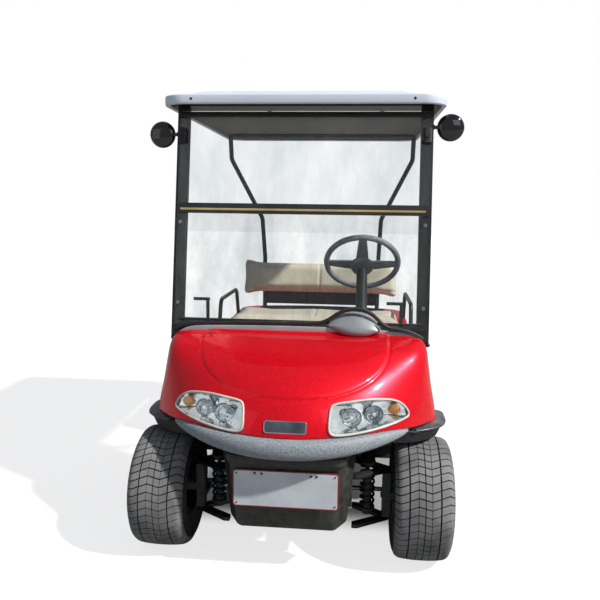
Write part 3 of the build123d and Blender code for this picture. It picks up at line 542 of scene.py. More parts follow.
def floor_rubber_finish():
    """Dark mat rubber with dust on it."""
    shader = Shader("floor_rubber")
    dust = shader.noise(7.0, 6.0, 0.65)
    shader.drive("Base Color", shader.ramp(dust, (0.35, paint("1e1f20")), (0.75, paint("4a4a47"))))
    shader.drive("Roughness", shader.ramp(dust, (0.3, 0.6), (0.7, 0.85)))
    shader.bump(shader.noise(700.0, 2.0), 0.3, 0.0005)
    return shader.material


vinyl = grained_vinyl("vinyl_stone", "c3baa8", "d8d0c0")
floor_rubber = floor_rubber_finish()
print(len(bpy.data.materials), "finishes in all")

# %% [markdown]
# ## The cowl
# The cowl is one big moulding. Level slices through it have straight sides, a tight corner and a wide bow
# at the nose, so a table of slices describes it. A grid is stretched over the slices. A shallow U-shaped
# step is pressed into it, and the wheel arches, the bumper's edge and the lamp openings are cut out
# afterwards.
# %% Slices of the cowl
cowl_rows = (
    # height, half width, shoulder y, nose y, corner radius
    (300, 554, -790, -1168, 175),
    (480, 548, -790, -1168, 172),
    (560, 538, -789, -1160, 168),
    (650, 521, -784, -1116, 158),
    (725, 510, -776, -1042, 140),
    (780, 502, -762, -940, 108),
    (812, 484, -745, -850, 66),
    (828, 440, -732, -768, 24),
)
cowl_foot = cowl_rows[0][0]
cowl_top, top_half = cowl_rows[-1][:2]
side_back = -500
widths = curve_through([row[:3] for row in cowl_rows], 12)
noses = curve_through([(row[0], row[3], row[4]) for row in cowl_rows], 12)
smooth_rows = [(*a, *b[1:]) for a, b in zip(widths, noses)]


def slice_at(height):
    """The slice's numbers at a height, read off the smoothed table."""
    for low, high in zip(smooth_rows, smooth_rows[1:]):
        if height <= high[0]:
            share = max(0.0, (height - low[0]) / (high[0] - low[0]))
            return [a + (b - a) * share for a, b in zip(low, high)]
    return list(smooth_rows[-1])


def slice_arcs(row):
    """The radius and middle of the nose's bow, and where it meets the corner."""
    _, half_width, shoulder, nose, corner = row
    reach = shoulder - nose
    bow = ((half_width - corner) ** 2 + reach**2 - corner**2) / (2 * (reach - corner))
    middle = nose + bow
    span = math.hypot(half_width - corner, shoulder - middle)
    meet_x = (half_width - corner) * (1 + corner / span)
    return bow, middle, meet_x


def nose_y(x, height):
    """How far forward the cowl's skin lies at a place seen from the front."""
    row = slice_at(height)
    bow, middle, meet_x = slice_arcs(row)
    x = abs(x)
    if x <= meet_x:
        return middle - math.sqrt(bow**2 - x**2)
    beyond = min(x - (row[1] - row[4]), row[4])
    return row[2] - math.sqrt(row[4] ** 2 - beyond**2)


def slice_points(row, side_steps, corner_steps, bow_steps):
    """Half a slice, from the back edge of the side to the middle of the nose, as (x, y)."""
    _, half_width, shoulder, nose, corner = row
    bow, middle, meet_x = slice_arcs(row)
    turn = math.acos(min(1.0, (meet_x - (half_width - corner)) / corner))
    sweep = math.asin(meet_x / bow)
    straight = (shoulder - side_back) / side_steps
    points = [(half_width, side_back + straight * i) for i in range(side_steps)]
    for i in range(corner_steps):
        angle = turn * i / corner_steps
        points.append((half_width - corner * (1 - math.cos(angle)), shoulder - corner * math.sin(angle)))
    for i in range(bow_steps + 1):
        angle = sweep * (1 - i / bow_steps)
        points.append((bow * math.sin(angle), middle - bow * math.cos(angle)))
    return points


def whole_slice(height, *steps):
    """A slice from one back edge round the nose to the other."""
    half = slice_points(slice_at(height), *steps)
    return half + [(-x, y) for x, y in half[-2::-1]]


print("slices from", cowl_foot, "to", cowl_top, "mm above the ground")

# %% [markdown]
# The pressed U starts at the cowl's top edge near each side and dips almost to the nose. Inside it the
# bonnet stands a little proud. A narrow groove runs along the step, and it catches a thin line of light.
# %% Cowl skin
line_half, line_deep, line_top, line_power = 358, 167, 829, 2.55
step_lift, step_run = 2.6, 2.6
groove_deep, groove_wide, groove_reach = 3.2, 4.6, 60.0


def line_distance(x, height):
    """How far inside the pressed line a place is: the line is a superellipse, open at the top."""
    across, down = abs(x) / line_half, max(line_top - height, 0) / line_deep
    value = across**line_power + down**line_power
    bend = line_power - 1
    slope = line_power * math.hypot(across**bend / line_half, down**bend / line_deep)
    return (1 - value) / max(slope, 1e-4)


def press(x, height):
    """Outward lift of the skin round the pressed line, in millimetres."""
    distance = max(-groove_reach, min(groove_reach, line_distance(x, height)))
    lift = step_lift / (1 + math.exp(-distance / step_run))
    return lift - groove_deep * math.exp(-(distance / groove_wide) ** 2)


heights = []
for low, high, steps in (
        # closest where the line is pressed in
        (cowl_foot, 480, 3), (480, 560, 10), (560, 660, 14), (660, 780, 34), (780, 812, 12),
        (812, cowl_top, 7)):
    heights += [low + (high - low) * i / steps for i in range(steps)]
heights.append(cowl_top)
grid = [[(x, y, height) for x, y in whole_slice(height, 5, 24, 90)] for height in heights]
brim = grid[-1]
for lift, inward in ((4, 4), (6, 12), (6, 30)):
    # the skin's top edge rounds over and runs in under the windscreen
    share = 1 - inward / top_half
    grid.append([(x * share, y + inward * 0.8, cowl_top + lift) for x, y, _ in brim])

clear_selection()
bpy.ops.mesh.primitive_grid_add(x_subdivisions=len(brim) - 1, y_subdivisions=len(grid) - 1, size=1)
cowl = named("cowl")
flat = [Vector(point) for row in grid for point in row]
for vertex, point in zip(cowl.data.vertices, flat):
    vertex.co = point * MM
cowl.data.update()
pushes = []
for vertex in cowl.data.vertices:
    x, _, height = vertex.co / MM
    normal = vertex.normal if vertex.normal.y < 0.2 or vertex.normal.z > 0 else -vertex.normal
    pushes.append(normal * press(x, height) * MM)
for vertex, push in zip(cowl.data.vertices, pushes):
    vertex.co += push
face_outwards(cowl)
if sum(face.normal.y for face in cowl.data.polygons) > 0:
    reshape(cowl, "FACE", everything, bpy.ops.mesh.flip_normals)
modify(cowl, "SOLIDIFY", thickness=4 * MM, offset=-1)
print("cowl skin", len(cowl.data.polygons), "faces")

# %% [markdown]
# Cutters shape its edges: the outline of its sides, a box with a rounded back for each front wheel, the line
# where the bumper starts, and one opening for each lamp.
# %% Cut the cowl
bumper_half, bumper_level = 424, 543.5
arch_top, arch_back, arch_radius = 516, -548, 204
past_nose, behind_lamps = -1230, -880
nose_span = (past_nose, behind_lamps)
past_sides = 700


def bumper_top(x):
    """The line between the cowl and the bumper: nearly level, dropping a little at its ends."""
    share = min(abs(x) / bumper_half, 1.0)
    return bumper_level + 16 * share**2 * (1 - 1.28 * share**4)


side_outline = ((past_nose, arch_top), (past_nose, 900), (-690, 900), (-690, 780), (-650, 700), (-560, 540),
                (side_back, 400), (side_back, 296), (-590, 296), (-590, arch_top))
cut(cowl, prism("side", side_outline, "X", (-past_sides, past_sides)), "INTERSECT")
arch_bends = [math.radians(angle) for angle in range(0, 91, 6)]
arch_outline = [(past_nose, 0), (arch_back, 0)]
arch_outline += [(arch_back - arch_radius * (1 - math.cos(a)), arch_top - arch_radius * (1 - math.sin(a)))
                 for a in arch_bends]
arch_outline += [(past_nose, arch_top)]
for span in ((0, past_sides), (-past_sides, 0)):
    cut(cowl, prism("arch", arch_outline, "X", span))
bumper_line = [(x, bumper_top(x) + 3) for x in [bumper_half * (i / 20 - 1) for i in range(41)]]
below = [(-past_sides, 514), *bumper_line, (past_sides, 514), (past_sides, 200), (-past_sides, 200)]
cut(cowl, prism("below", below, "Y", nose_span))
lamp_corners = (
    # x, z of the lamp on the driver's side, seen from the front
    (145, 572), (145, 606), (149, 638), (164, 651), (217, 656), (288, 658), (357, 649), (396, 632),
    (418, 609), (426, 592), (415, 580), (345, 567), (250, 557), (187, 554), (158, 557),
)
lamp_line = smooth_outline(lamp_corners, 5)
for side in (1, -1):
    outline = [(side * x, z) for x, z in lamp_line][::side]
    cut(cowl, prism("lamp", outline, "Y", nose_span))
modify(cowl, "BEVEL", width=1.2 * MM, segments=2, limit_method="ANGLE", angle_limit=math.radians(50))
finish(cowl, "root", red, "red_shell", ["front_cowl"], degrees=32)

# %% [markdown]
# ## Headlamps
# A headlamp is four things stacked in its opening: a pale bezel round the edge, a clear lens that carries
# on the cowl's curve, and behind it a bright fluted reflector with two round bowls and their bulb caps, and
# the indicator's amber bulb. One lamp is made, and its mirror image is the other.
# %% Headlamp pieces
def shrink(outline, share, centre):
    """An outline drawn in towards a centre."""
    return [(centre[0] + (x - centre[0]) * share, centre[1] + (z - centre[1]) * share) for x, z in outline]


def shell_over(name, outline, depth_at, rings=10):
    """A closed disc over an outline seen from the front. depth_at(x, z, share) gives y in front.

    The back is 2 mm deeper.
    """
    count = len(outline)
    centre = (sum(x for x, _ in outline) / count, sum(z for _, z in outline) / count)
    points = []
    faces = []
    for back in (0, 2):
        start = len(points)
        points.append((centre[0], depth_at(*centre, 0.0) + back, centre[1]))
        for ring in range(1, rings + 1):
            share = ring / rings
            points += [(x, depth_at(x, z, share) + back, z) for x, z in shrink(outline, share, centre)]
        for step in range(count):
            after = (step + 1) % count
            faces.append((start, start + 1 + step, start + 1 + after))
            for ring in range(rings - 1):
                low = start + 1 + ring * count
                faces.append((low + step, low + count + step, low + count + after, low + after))
    edge = 1 + (rings - 1) * count
    other = len(points) // 2
    for step in range(count):
        after = (step + 1) % count
        faces.append((edge + step, other + edge + step, other + edge + after, edge + after))
    return solid(name, points, faces)


lamp_middle = (285.0, 604.0)
inner_line = shrink(lamp_line, 0.985, lamp_middle)
lens_line = [(x + (lamp_middle[0] - x) * 0.035, z + (lamp_middle[1] - z) * 0.10) for x, z in inner_line]


def lens_depth(x, z, share):
    """The lens carries on the cowl's curve and bulges a little in its middle."""
    return nose_y(x, z) - 1.5 - 4 * (1 - share**2)


def reflector_depth(x, z, share):
    """The reflector is a fluted dish, deepest in its middle."""
    flute = 1.6 * math.cos(x * 0.42) * min(1.0, 6 * (1 - share))
    return nose_y(x, z) + 6 + 34 * (1 - share**3) + flute


def lamp_bowl(x, z, radius):
    """A polished bowl that opens forwards, standing in the reflector."""
    arc = [math.pi / 2 * i / 8 for i in range(9)]
    wall = [(radius * math.sin(t), 26 * (1 - math.cos(t)) ** 0.8) for t in arc]
    outline = [(24 - deep, r) for r, deep in wall] + [(27 - deep, r + 2) for r, deep in wall[::-1]]
    return turned("lamp_bowl", outline, 32, "Y", (x, nose_y(x, z) + 12, z))


def bulb_cap(x, z):
    """The small bright cap in the middle of a bowl."""
    return rod("lamp_cap", (x, nose_y(x, z) + 34, z), (x, nose_y(x, z) + 12, z), 8, 20, 6)


def amber_bulb(x, z):
    """The indicator's bulb: a flattened sphere."""
    clear_selection()
    bpy.ops.mesh.primitive_uv_sphere_add(segments=24, ring_count=12, radius=1)
    amber = named("amber")
    amber.scale = (23 * MM, 9 * MM, 19 * MM)
    amber.location = Vector((x, nose_y(x, z) + 20, z)) * MM
    return bake_place(amber)


bowls = (
    # x, z, radius
    (222, 603, 33),
    (300, 606, 30),
)
bezel_path = [(x, nose_y(x, z) - 2.0, z) for x, z in shrink(lamp_line, 0.982, lamp_middle)]
bezel = swept("bezel", bezel_path, rounded_box(7.6, 11, 3.6, 3), up=(0, 1, 0), loop=True)
lens = shell_over("lens", lens_line, lens_depth)
bright = [shell_over("reflector", inner_line, reflector_depth)]
bright += [lamp_bowl(*bowl) for bowl in bowls] + [bulb_cap(x, z) for x, z, _ in bowls]
for key, piece, material, replaced in (
        ("bezel", bezel, bezel_plastic, ["headlamps"]),
        ("lens", lens, lens_clear, ()),
        ("reflector", join("reflector", *bright), chrome, ()),
        ("amber", amber_bulb(371, 609), amber_plastic, ())):
    other = twin(piece, f"headlamp_{key}_right")
    piece.name = f"headlamp_{key}_left"
    finish(piece, "root", material, "lamp_lens", replaced)
    finish(other, "root", material, "lamp_lens")

# %% [markdown]
# ## Bumper, badge, valance and plate
# The bumper is a crescent: deep in the middle, running out to nothing beside the lamps. A ring of points
# shaped like a letter D is carried across the nose and shrinks as it goes.
# %% Bumper
bumper_deep, bumper_stand, bumper_sunk = 67, 26.5, 6
lowest_slice = 500


def bumper_section(x):
    """One ring: a D whose flat side is behind the cowl's skin."""
    share = min(abs(x) / bumper_half, 1.0)
    top = bumper_top(x)
    deep = bumper_deep * (1 - share**2.6) ** 0.62 + 4
    low = top - deep
    stand = bumper_stand * (0.3 + 0.7 * (1 - share**3.2))
    ring = []
    for i in range(17):
        angle = math.pi * i / 16
        z = (top + low) / 2 + deep / 2 * math.cos(angle)
        base = nose_y(x, max(z, lowest_slice)) + bumper_sunk
        ring.append((x, base - (stand + bumper_sunk) * math.sin(angle) ** 0.62, z))
    back = nose_y(x, lowest_slice) + 26
    return ring + [(x, back, low + 2), (x, back, top - 2)]


bumper = skin("bumper", [bumper_section((bumper_half - 1) * (i / 70 - 1)) for i in range(141)])
finish(bumper, "root", grey_plastic, "grey_plastic", ["front_bumper"], degrees=50)

# %% [markdown]
# The badge is blank: a bright raised rim around a dark sunk field, bent to the nose.
# %% Badge
badge_z = 581
rim_line = [(x, badge_z + z) for x, z in rounded_box(142, 36, 8, 5)]
badge_path = [(x, nose_y(x, z) - 2.0, z) for x, z in rim_line]
badge_rim = swept("badge_rim", badge_path, rounded_box(5, 5, 2, 2), up=(0, 1, 0), loop=True)
finish(badge_rim, "root", chrome, "badge_dark", ["badge_plate"])
field = shell_over("badge_field", rounded_box(141, 35, 7, 5), lambda x, z, share: 0.0, rings=8)
for vertex in field.data.vertices:
    x, y, z = vertex.co / MM
    vertex.co = Vector((x, nose_y(x, badge_z + z) - 3.4 + y, badge_z + z)) * MM
finish(field, "root", badge_dark, "badge_dark")

# %% [markdown]
# The valance is a dark tapered box, open at the back and wider there, with a ledge along its top edge.
# Start from a cube, lean and narrow its front, round the front edges with a bevel, delete the back and
# thicken the walls.
# %% Valance
valance_back, valance_front, valance_foot = 246, 201, 173
valance = box_of("valance", (-valance_back, valance_back), (-1118, -1014), (176, 476))
middle = (0, 0, 0.3)


def in_front(place, normal):
    return place.y < -1.05


def low_down(place, normal):
    return place.z < 0.3


reshape(valance, "VERT", in_front, bpy.ops.transform.resize,
        value=(valance_front / valance_back, 1, 1), center_override=middle)
reshape(valance, "VERT", low_down, bpy.ops.transform.resize,
        value=(valance_foot / valance_front, 1, 1), center_override=middle)
reshape(valance, "VERT", lambda place, normal: low_down(place, normal) and in_front(place, normal),
        bpy.ops.transform.translate, value=(0, 0.034, 0))
reshape(valance, "EDGE", lambda place, normal: abs(normal.z) > 0.8 and in_front(place, normal),
        bpy.ops.mesh.bevel, offset=0.016, segments=7, profile=0.5)
reshape(valance, "EDGE", lambda place, normal: place.z < 0.178 and place.y < -1.02 and abs(normal.z) < 0.1,
        bpy.ops.mesh.bevel, offset=0.018, segments=5, profile=0.5)
reshape(valance, "FACE", lambda place, normal: normal.y > 0.9, bpy.ops.mesh.delete, type="FACE")
modify(valance, "SOLIDIFY", thickness=0.004, offset=-1)
modify(valance, "BEVEL", width=0.0015, segments=2, limit_method="ANGLE", angle_limit=math.radians(60))
half_lip = [(206, -1104, 452), (202, -1112, 451), (190, -1118, 451), (172, -1120, 450), (90, -1122, 447)]
lip_path = [(-x, y, z) for x, y, z in half_lip] + [(0, -1123, 446)] + half_lip[::-1]
lip = swept("valance_lip", curve_through(lip_path, 4), rounded_box(12, 30, 5, 3))
finish(join("valance", valance, lip), "root", valance_plastic, "black_plastic", ["front_valance"])

# %% [markdown]
# The plate is blank enamelled steel: a pale field, a dark red border and small bolts. It hangs upright on
# four spacers. The lower two are longer, because the valance leans back towards its foot.
# %% Number plate
plate_middle = Vector((0, -1.1195, 0.3445))
plate = prism("plate", rounded_box(364, 128, 9), "Y", (-1.6, 1.0))
border_path = [(x, -0.8, z) for x, z in rounded_box(367, 131, 10)]
border = swept("plate_border", border_path, rounded_box(4.4, 3.6, 1.2, 2), up=(0, 1, 0), loop=True)
bolts = []
for x, z in ((-172, 54), (172, 54), (-172, -54), (172, -54), (-108, 56), (-84, 55), (88, 53), (108, 53)):
    radius = 3.2 if abs(x) > 150 else 4.6
    bolts.append(rod("bolt", (x, -1.2, z), (x, -3.6, z), radius, 16, radius * 0.8))
bolts += [rod("spacer", (x, 0, z), (x, 26 - z * 0.12, z), 7, 16) for x in (-140, 140) for z in (-50, 50)]
for piece, material, slot_name, replaced in (
        (plate, plate_enamel, "plate_white", ["number_plate"]), (border, plate_border, "plate_white", ()),
        (join("plate_bolts", *bolts), steel_black, "bare_steel", ())):
    piece.location = plate_middle
    finish(piece, "root", material, slot_name, replaced)

# %% [markdown]
# ## Arch lips
# A rounded lip follows each front wheel arch: it grows out of the cowl beside the bumper, turns the corner
# and runs down behind the wheel. At every point one direction looks out of the cowl and the other away from
# the arch. A thin black skirt hangs under the level part of the lip and leans inwards.
# %% Arch lips
_, lip_half, _, _, lip_radius = slice_at(arch_top)
corner_y, arch_middle = -790, arch_back - arch_radius
corner_steps, side_steps, down_steps = 20, 3, 24
corner_turn = 62


def corner_place(degrees):
    """A place on the cowl's corner at the arch's top, and the direction out of the cowl there."""
    angle = math.radians(degrees)
    out = Vector((math.cos(angle), -math.sin(angle), 0))
    return Vector((lip_half - lip_radius, corner_y, arch_top)) + out * lip_radius, out


def arch_station(index):
    """A point on the lip, the direction out of the cowl, and how much of the lip's width it has there."""
    if index <= corner_steps:
        share = index / corner_steps
        return *corner_place(corner_turn * (1 - share)), 0.25 + 0.75 * min(1.0, share * 1.6)
    index -= corner_steps
    if index <= side_steps:
        y = corner_y + (arch_middle - corner_y) * index / side_steps
        return Vector((lip_half, y, arch_top)), Vector((1, 0, 0)), 1.0
    share = (index - side_steps) / down_steps
    angle = math.radians(90 * share)
    height = arch_top - arch_radius * (1 - math.cos(angle))
    place = Vector((slice_at(height)[1], arch_middle + arch_radius * math.sin(angle), height))
    return place, Vector((1, 0, 0)), 1.0 - 0.5 * share**3


lip_profile = ((-8, -6), (8, -6), (24, -6), (33, -5), (36, -2), (35, 2), (30, 5), (18, 8), (6, 10), (-8, 12))
skirt_profile = ((0, -4), (25, -4), (8, -44), (3, -44))
stations = [arch_station(i) for i in range(corner_steps + side_steps + down_steps + 1)]
lip_rows, skirt_rows = [], []
for degrees in (90, 83, 76, 69):
    # the skirt alone starts further forward, at a quarter of its width
    place, out = corner_place(degrees)
    skirt_rows.append([place + out * a * 0.25 + Vector((0, 0, b)) for a, b in skirt_profile])
for index, (place, out, size) in enumerate(stations):
    before, after = stations[max(index - 1, 0)][0], stations[min(index + 1, len(stations) - 1)][0]
    away = out.cross((after - before).normalized())
    lip_rows.append([place + out * a * size + away * b * min(1.0, size + 0.2) for a, b in lip_profile])
    if index <= corner_steps + side_steps:
        skirt_rows.append([place + out * a * size + away * b for a, b in skirt_profile])
finish(with_twin("arch_lips", skin("lip", lip_rows)), "root", lip_plastic, "black_plastic", degrees=50)
# the skirt takes darker rubber than the lip: partly its own black, partly painted shade under the lip
finish(with_twin("arch_skirts", skin("skirt", skirt_rows)), "root", seal_rubber, "black_plastic")

# %% [markdown]
# Inside the arch, the liner keeps its solid form, less the block that stands for the lip. It is cut from a
# merged copy with the cowl's own outline.
# %% Arch liners
liner = outward(copy_of(nodes["wheel_liners"], "arch_liners"))
keeper_rows = []
for height in (290, 400, 480, 520, 560, 600):
    keeper_rows.append([(x * 0.999, y + 1.0, height) for x, y in whole_slice(height, 2, 16, 24)])
cut(liner, skin("keeper", keeper_rows), "INTERSECT")
finish(liner, "root", black_plastic, "black_plastic", ["wheel_liners"])

# %% [markdown]
# ## Where the cowl meets the windscreen
# A silver strip follows the cowl's top edge. Above it runs a black rubber seal, which climbs over the grey
# cover of the steering column like an eyebrow.
# %% Trim strip and seals
strip_path = [(-502, -724, 774), (-492, -735, 790), (-472, -746, 808), (-438, -752, 824), (-380, -755, 833),
              (-200, -755, 838), (0, -755, 840), (200, -755, 838), (380, -755, 831), (438, -752, 822),
              (472, -746, 807), (492, -735, 789), (502, -724, 773)]
path = curve_through(strip_path, 6)
last = len(path) - 1
sizes = [0.35 + 0.65 * min(1.0, i / 18, (last - i) / 18) for i in range(len(path))]
strip = swept("trim_strip", path, rounded_box(8, 25, 3.5, 3), sizes=sizes)
finish(strip, "root", trim_silver, "trim_grey", ["cowl_trim"])

seal_path = [(-512, -716, 782), (-503, -728, 806), (-482, -738, 830), (-440, -744, 846), (-340, -748, 855),
             (-180, -748, 860), (0, -748, 862), (80, -750, 866), (118, -754, 880), (160, -755, 908),
             (205, -753, 925), (250, -753, 925), (292, -754, 906), (326, -752, 874), (356, -749, 855),
             (400, -746, 847), (450, -742, 834), (490, -732, 810), (512, -716, 782)]
seal = swept("seal", curve_through(seal_path, 6), rounded_box(16, 15, 5, 3))
ridge_path = [(352, -762, 847), (400, -762, 843), (444, -757, 832), (478, -748, 813), (500, -735, 790)]
ridge = swept("seal_ridge", curve_through(ridge_path, 6), rounded_box(5, 5, 2, 2))
finish(join("seal", seal, ridge), "root", seal_rubber, "black_plastic")

# %% [markdown]
# The cover is a smooth domed lens. Its outline is two arcs, and its skin swells forward in the middle. A
# darker scoop is let into its driver's end.
# %% Column cover
def arc_through(start, middle, end, steps):
    """Points of the circle arc through three (x, z) points, without its last point."""
    ax, az, bx, bz, cx, cz = *start, *middle, *end
    d = 2 * (ax * (bz - cz) + bx * (cz - az) + cx * (az - bz))
    ux = ((ax**2 + az**2) * (bz - cz) + (bx**2 + bz**2) * (cz - az) + (cx**2 + cz**2) * (az - bz)) / d
    uz = ((ax**2 + az**2) * (cx - bx) + (bx**2 + bz**2) * (ax - cx) + (cx**2 + cz**2) * (bx - ax)) / d
    radius = math.hypot(ax - ux, az - uz)
    first, last = math.atan2(az - uz, ax - ux), math.atan2(cz - uz, cx - ux)
    pass_by = math.atan2(bz - uz, bx - ux)
    turn = (last - first) % math.tau
    if (pass_by - first) % math.tau > turn:
        turn -= math.tau
    turns = [first + turn * i / steps for i in range(steps)]
    return [(ux + radius * math.cos(angle), uz + radius * math.sin(angle)) for angle in turns]


cover_ends, cover_top, cover_low = ((117, 859), (327, 844)), (226, 911), (236, 822)
cover_line = arc_through(cover_ends[0], cover_top, cover_ends[1], 28)
cover_line += arc_through(cover_ends[1], cover_low, cover_ends[0], 28)


def cover_edge(z):
    """Where the cover's edge lies at a height: it leans back towards its top."""
    return -775 + 50 * max((z - 821) / 93, 0) ** 1.2


def cover_depth(x, z, share):
    """The cover's skin, furthest forward in its middle."""
    return cover_edge(z) - 26 * (1 - share**2.4) ** 0.8


cover = shell_over("column_cover", cover_line, cover_depth, rings=14)
hood_rows = [[(x, cover_edge(z) + 1, z) for x, z in cover_line], [(x, -700, z) for x, z in cover_line]]
hood = skin("column_hood", hood_rows)
finish(join("cover_dome", cover, hood), "root", cover_plastic, "dash_plastic", ["column_cover"], degrees=40)
scoop_line = smooth_outline([(303, 868), (322, 848), (300, 838), (284, 842), (290, 858)], 6)
scoop = shell_over("cover_scoop", scoop_line, lambda x, z, share: cover_depth(x, z, 0.93) - 3.5, rings=4)
finish(scoop, "root", dash_plastic, "dash_plastic")

# %% [markdown]
# ## Windscreen fittings
# The screen folds at its waist: a black bar across the middle with a tan strip along it, a painted highlight.
# Rubber clamps hold the top of the glass to the struts, and screws hold the lower half. The screen leans
# back, so `on_screen` gives a place on it from how far across and how far up it is.
# %% Windscreen fittings
screen_foot, screen_head = Vector((0, -742, 800)), Vector((0, -588, 1713))
screen_rise = (screen_head - screen_foot).normalized()
screen_out = Vector((0, -screen_rise.z, screen_rise.y))
strut_x = 487


def on_screen(x, height, out):
    """A place in front of the leaning screen, given by x and height above the ground."""
    along = (height - screen_foot.z) / screen_rise.z
    return Vector((x, 0, 0)) + screen_foot + screen_rise * along + screen_out * out


def screen_bar(name, x_span, height, tall, thick, out, corner=3.0):
    """A bar across the screen at a height, with its middle a little in front of the glass."""
    path = [on_screen(x, height, out) for x in x_span]
    return swept(name, path, rounded_box(thick, tall, corner, 3), up=screen_rise)


foot_z, hinge_z, head_z = 866, 1300, 1676
# the tan strip on the hinge bar is a painted highlight
hinge_highlight = screen_bar("hinge_highlight_strip", (-486, 486), hinge_z, 9, 4, 13.4, 1.5)
finish(hinge_highlight, "root", tan_highlight, "bare_steel")
top_trim = screen_bar("screen_top_trim", (-497, 497), head_z, 20, 10, 7.0)
foot_trim = screen_bar("screen_foot_trim", (-484, 484), foot_z, 10, 8, 7.0)
finish(join("screen_trims", top_trim, foot_trim), "root", seal_rubber, "black_plastic")

latches = []
screws = []
for x in (-strut_x, strut_x):
    path = [on_screen(x, z, 12) for z in (1566, 1578, 1610, 1622)]
    latches.append(swept("latch", path, rounded_box(24, 34, 7, 3), up=(1, 0, 0)))
    latches.append(rod("latch_knob", on_screen(x, 1594, 10), on_screen(x, 1594, 30), 12, 24, 10))
    for z in (930, 1250):
        screws.append(rod("screw", on_screen(x, z, 0), on_screen(x, z, 7), 8, 20, 6.5))
finish(join("latches", *latches), "root", seal_rubber, "black_plastic")
finish(join("screen_screws", *screws), "root", zinc, "bare_steel")

catches = []
catch_y, catch_z = -706, 944
for bar_from, bar_to, stem_x in ((-425, -360, -368), (346, 412, 404)):
    catches.append(rod("catch_bar", (bar_from, catch_y, catch_z), (bar_to, catch_y, catch_z), 6.5, 16))
    catches.append(rod("catch_stem", (stem_x, catch_y, catch_z), (stem_x, catch_y, 842), 7, 16))
finish(join("screen_catches", *catches), "root", steel_black, "black_steel")

# %% [markdown]
# ## Mirrors
# Each mirror is a round housing turned on a lathe: a polished dome in front, the glass behind, and a short
# stalk to the strut.
# %% Mirrors
mirror_x, mirror_y = 578, -595
stalk_from, stalk_to = 508, 530
dome = [(-13, 0), (-12.6, 12), (-11, 26), (-8, 38), (-3, 48), (3, 52), (8, 53), (12, 52), (13, 50), (13, 47),
        (10, 46), (10, 0)]
for side, height, place, replaced in ((-1, 1600, "right", ()), (1, 1630, "left", ["mirrors"])):
    centre = (side * mirror_x, mirror_y, height)
    inner, outer = side * stalk_from, side * stalk_to
    housing = turned("housing", dome, 56, "Y", centre)
    stalk = rod("stalk", (inner, mirror_y, height), (outer, mirror_y, height), 7)
    pivot = rod("pivot", (inner, mirror_y - 11, height), (inner, mirror_y + 11, height), 10)
    finish(join(f"mirror_{place}", housing, stalk, pivot), "root", mirror_gloss, "mirror_black", replaced, 40)
    face = [(10.2, 0), (10.2, 45.5), (11.4, 45), (12, 30), (12.2, 0)]
    finish(turned(f"mirror_glass_{place}", face, 56, "Y", centre), "root", mirror_face, "mirror_black")

# %% [markdown]
# ## Roof
# A shallow tray with rounded corners and a raised crown. Start from a cube and bevel its upright edges into
# corners. Extrude the top face a few times, drawing it in and lifting it a little each time, for the crown.
# Then extrude the bottom face inwards and push it up, which hollows the underside.
# %% Roof
roof_half, roof_front, roof_rear, roof_low, roof_high = 556, -700, 672, 1705, 1742
roof_shell = box_of("roof_shell", (-roof_half, roof_half), (roof_front, roof_rear), (roof_low, roof_high))
reshape(roof_shell, "EDGE", lambda place, normal: abs(normal.z) > 0.9,
        bpy.ops.mesh.bevel, offset=0.095, segments=10, profile=0.5)
roof_middle = (0, (roof_front + roof_rear) / 2 * MM, (roof_low + roof_high) / 2 * MM)
for facing_up, steps in (
        # width and length left, lift in metres
        (1, ((0.932, 0.945, 0.001), (0.975, 0.980, 0.006), (0.925, 0.940, 0.014), (0.96, 0.97, 0.007),
             (0.90, 0.92, 0.004))),
        (-1, ((0.975, 0.980, 0.0), (0.985, 0.988, 0.022), (0.93, 0.94, 0.005)))):
    pick(roof_shell, "FACE", lambda place, normal: normal.z * facing_up > 0.9 and abs(place.x) < 0.01)
    for wide, long, lift in steps:
        bpy.ops.mesh.extrude_region_move()
        bpy.ops.transform.resize(value=(wide, long, 1), center_override=roof_middle)
        bpy.ops.transform.translate(value=(0, 0, lift))
    leave_edit()
modify(roof_shell, "BEVEL", width=0.0055, segments=3, limit_method="ANGLE", angle_limit=math.radians(40))
finish(roof_shell, "root", [roof_plastic, roof_underside_shade], "roof_plastic", ["roof"], degrees=30)
# the down-facing faces under the roof take the dark olive finish: painted shade on the underside
pick(roof_shell, "FACE", lambda place, normal: normal.z < -0.2 and place.z > 1.712)
roof_shell.active_material_index = 1
bpy.ops.object.material_slot_assign()
leave_edit()
screw_z = 1724
roof_screws = [rod("roof_screw", (x, roof_front + 1, screw_z), (x, roof_front - 0.5, screw_z), 6, 18, 5)
               for x in (-430, 428)]
finish(join("roof_screws", *roof_screws), "root", steel_black, "bare_steel")

# %% [markdown]
# ## Tyres
# A tyre is a plain carcass turned on a lathe with rubber blocks standing on it. A table gives each rib's
# span across the tread. The cuts between pitches follow a lazy W, so each block is bent. One pitch of six
# blocks is repeated round the carcass 50 times.
# %% Tyre pieces
tyre_radius = 228.5
pitches = 50
pitch_angle = math.tau / pitches
half_profile = [(30, 228.0), (60, 226.0), (82, 222.4), (93, 216.5), (100, 208), (103, 199), (104, 196)]
outer_profile = [(-x, r) for x, r in half_profile[::-1]] + [(0, tyre_radius)] + half_profile


def profile_radius(x):
    """Radius of the tread's outer surface at a place across the tyre."""
    for (x0, r0), (x1, r1) in zip(outer_profile, outer_profile[1:]):
        if x <= x1:
            return r0 + (r1 - r0) * (x - x0) / (x1 - x0)
    return outer_profile[-1][1]


def wave(x):
    """How far round the tyre, in pitches, the cut between blocks has moved at a place across the tread."""
    bends = ((0, 0.0), (23, -0.20), (54, 0.21), (86, 0.63), (104, 0.38))
    for (x0, turn0), (x1, turn1) in zip(bends, bends[1:]):
        if abs(x) <= x1:
            return math.copysign(1, -x) * (turn0 + (turn1 - turn0) * (abs(x) - x0) / (x1 - x0))
    return 0.0


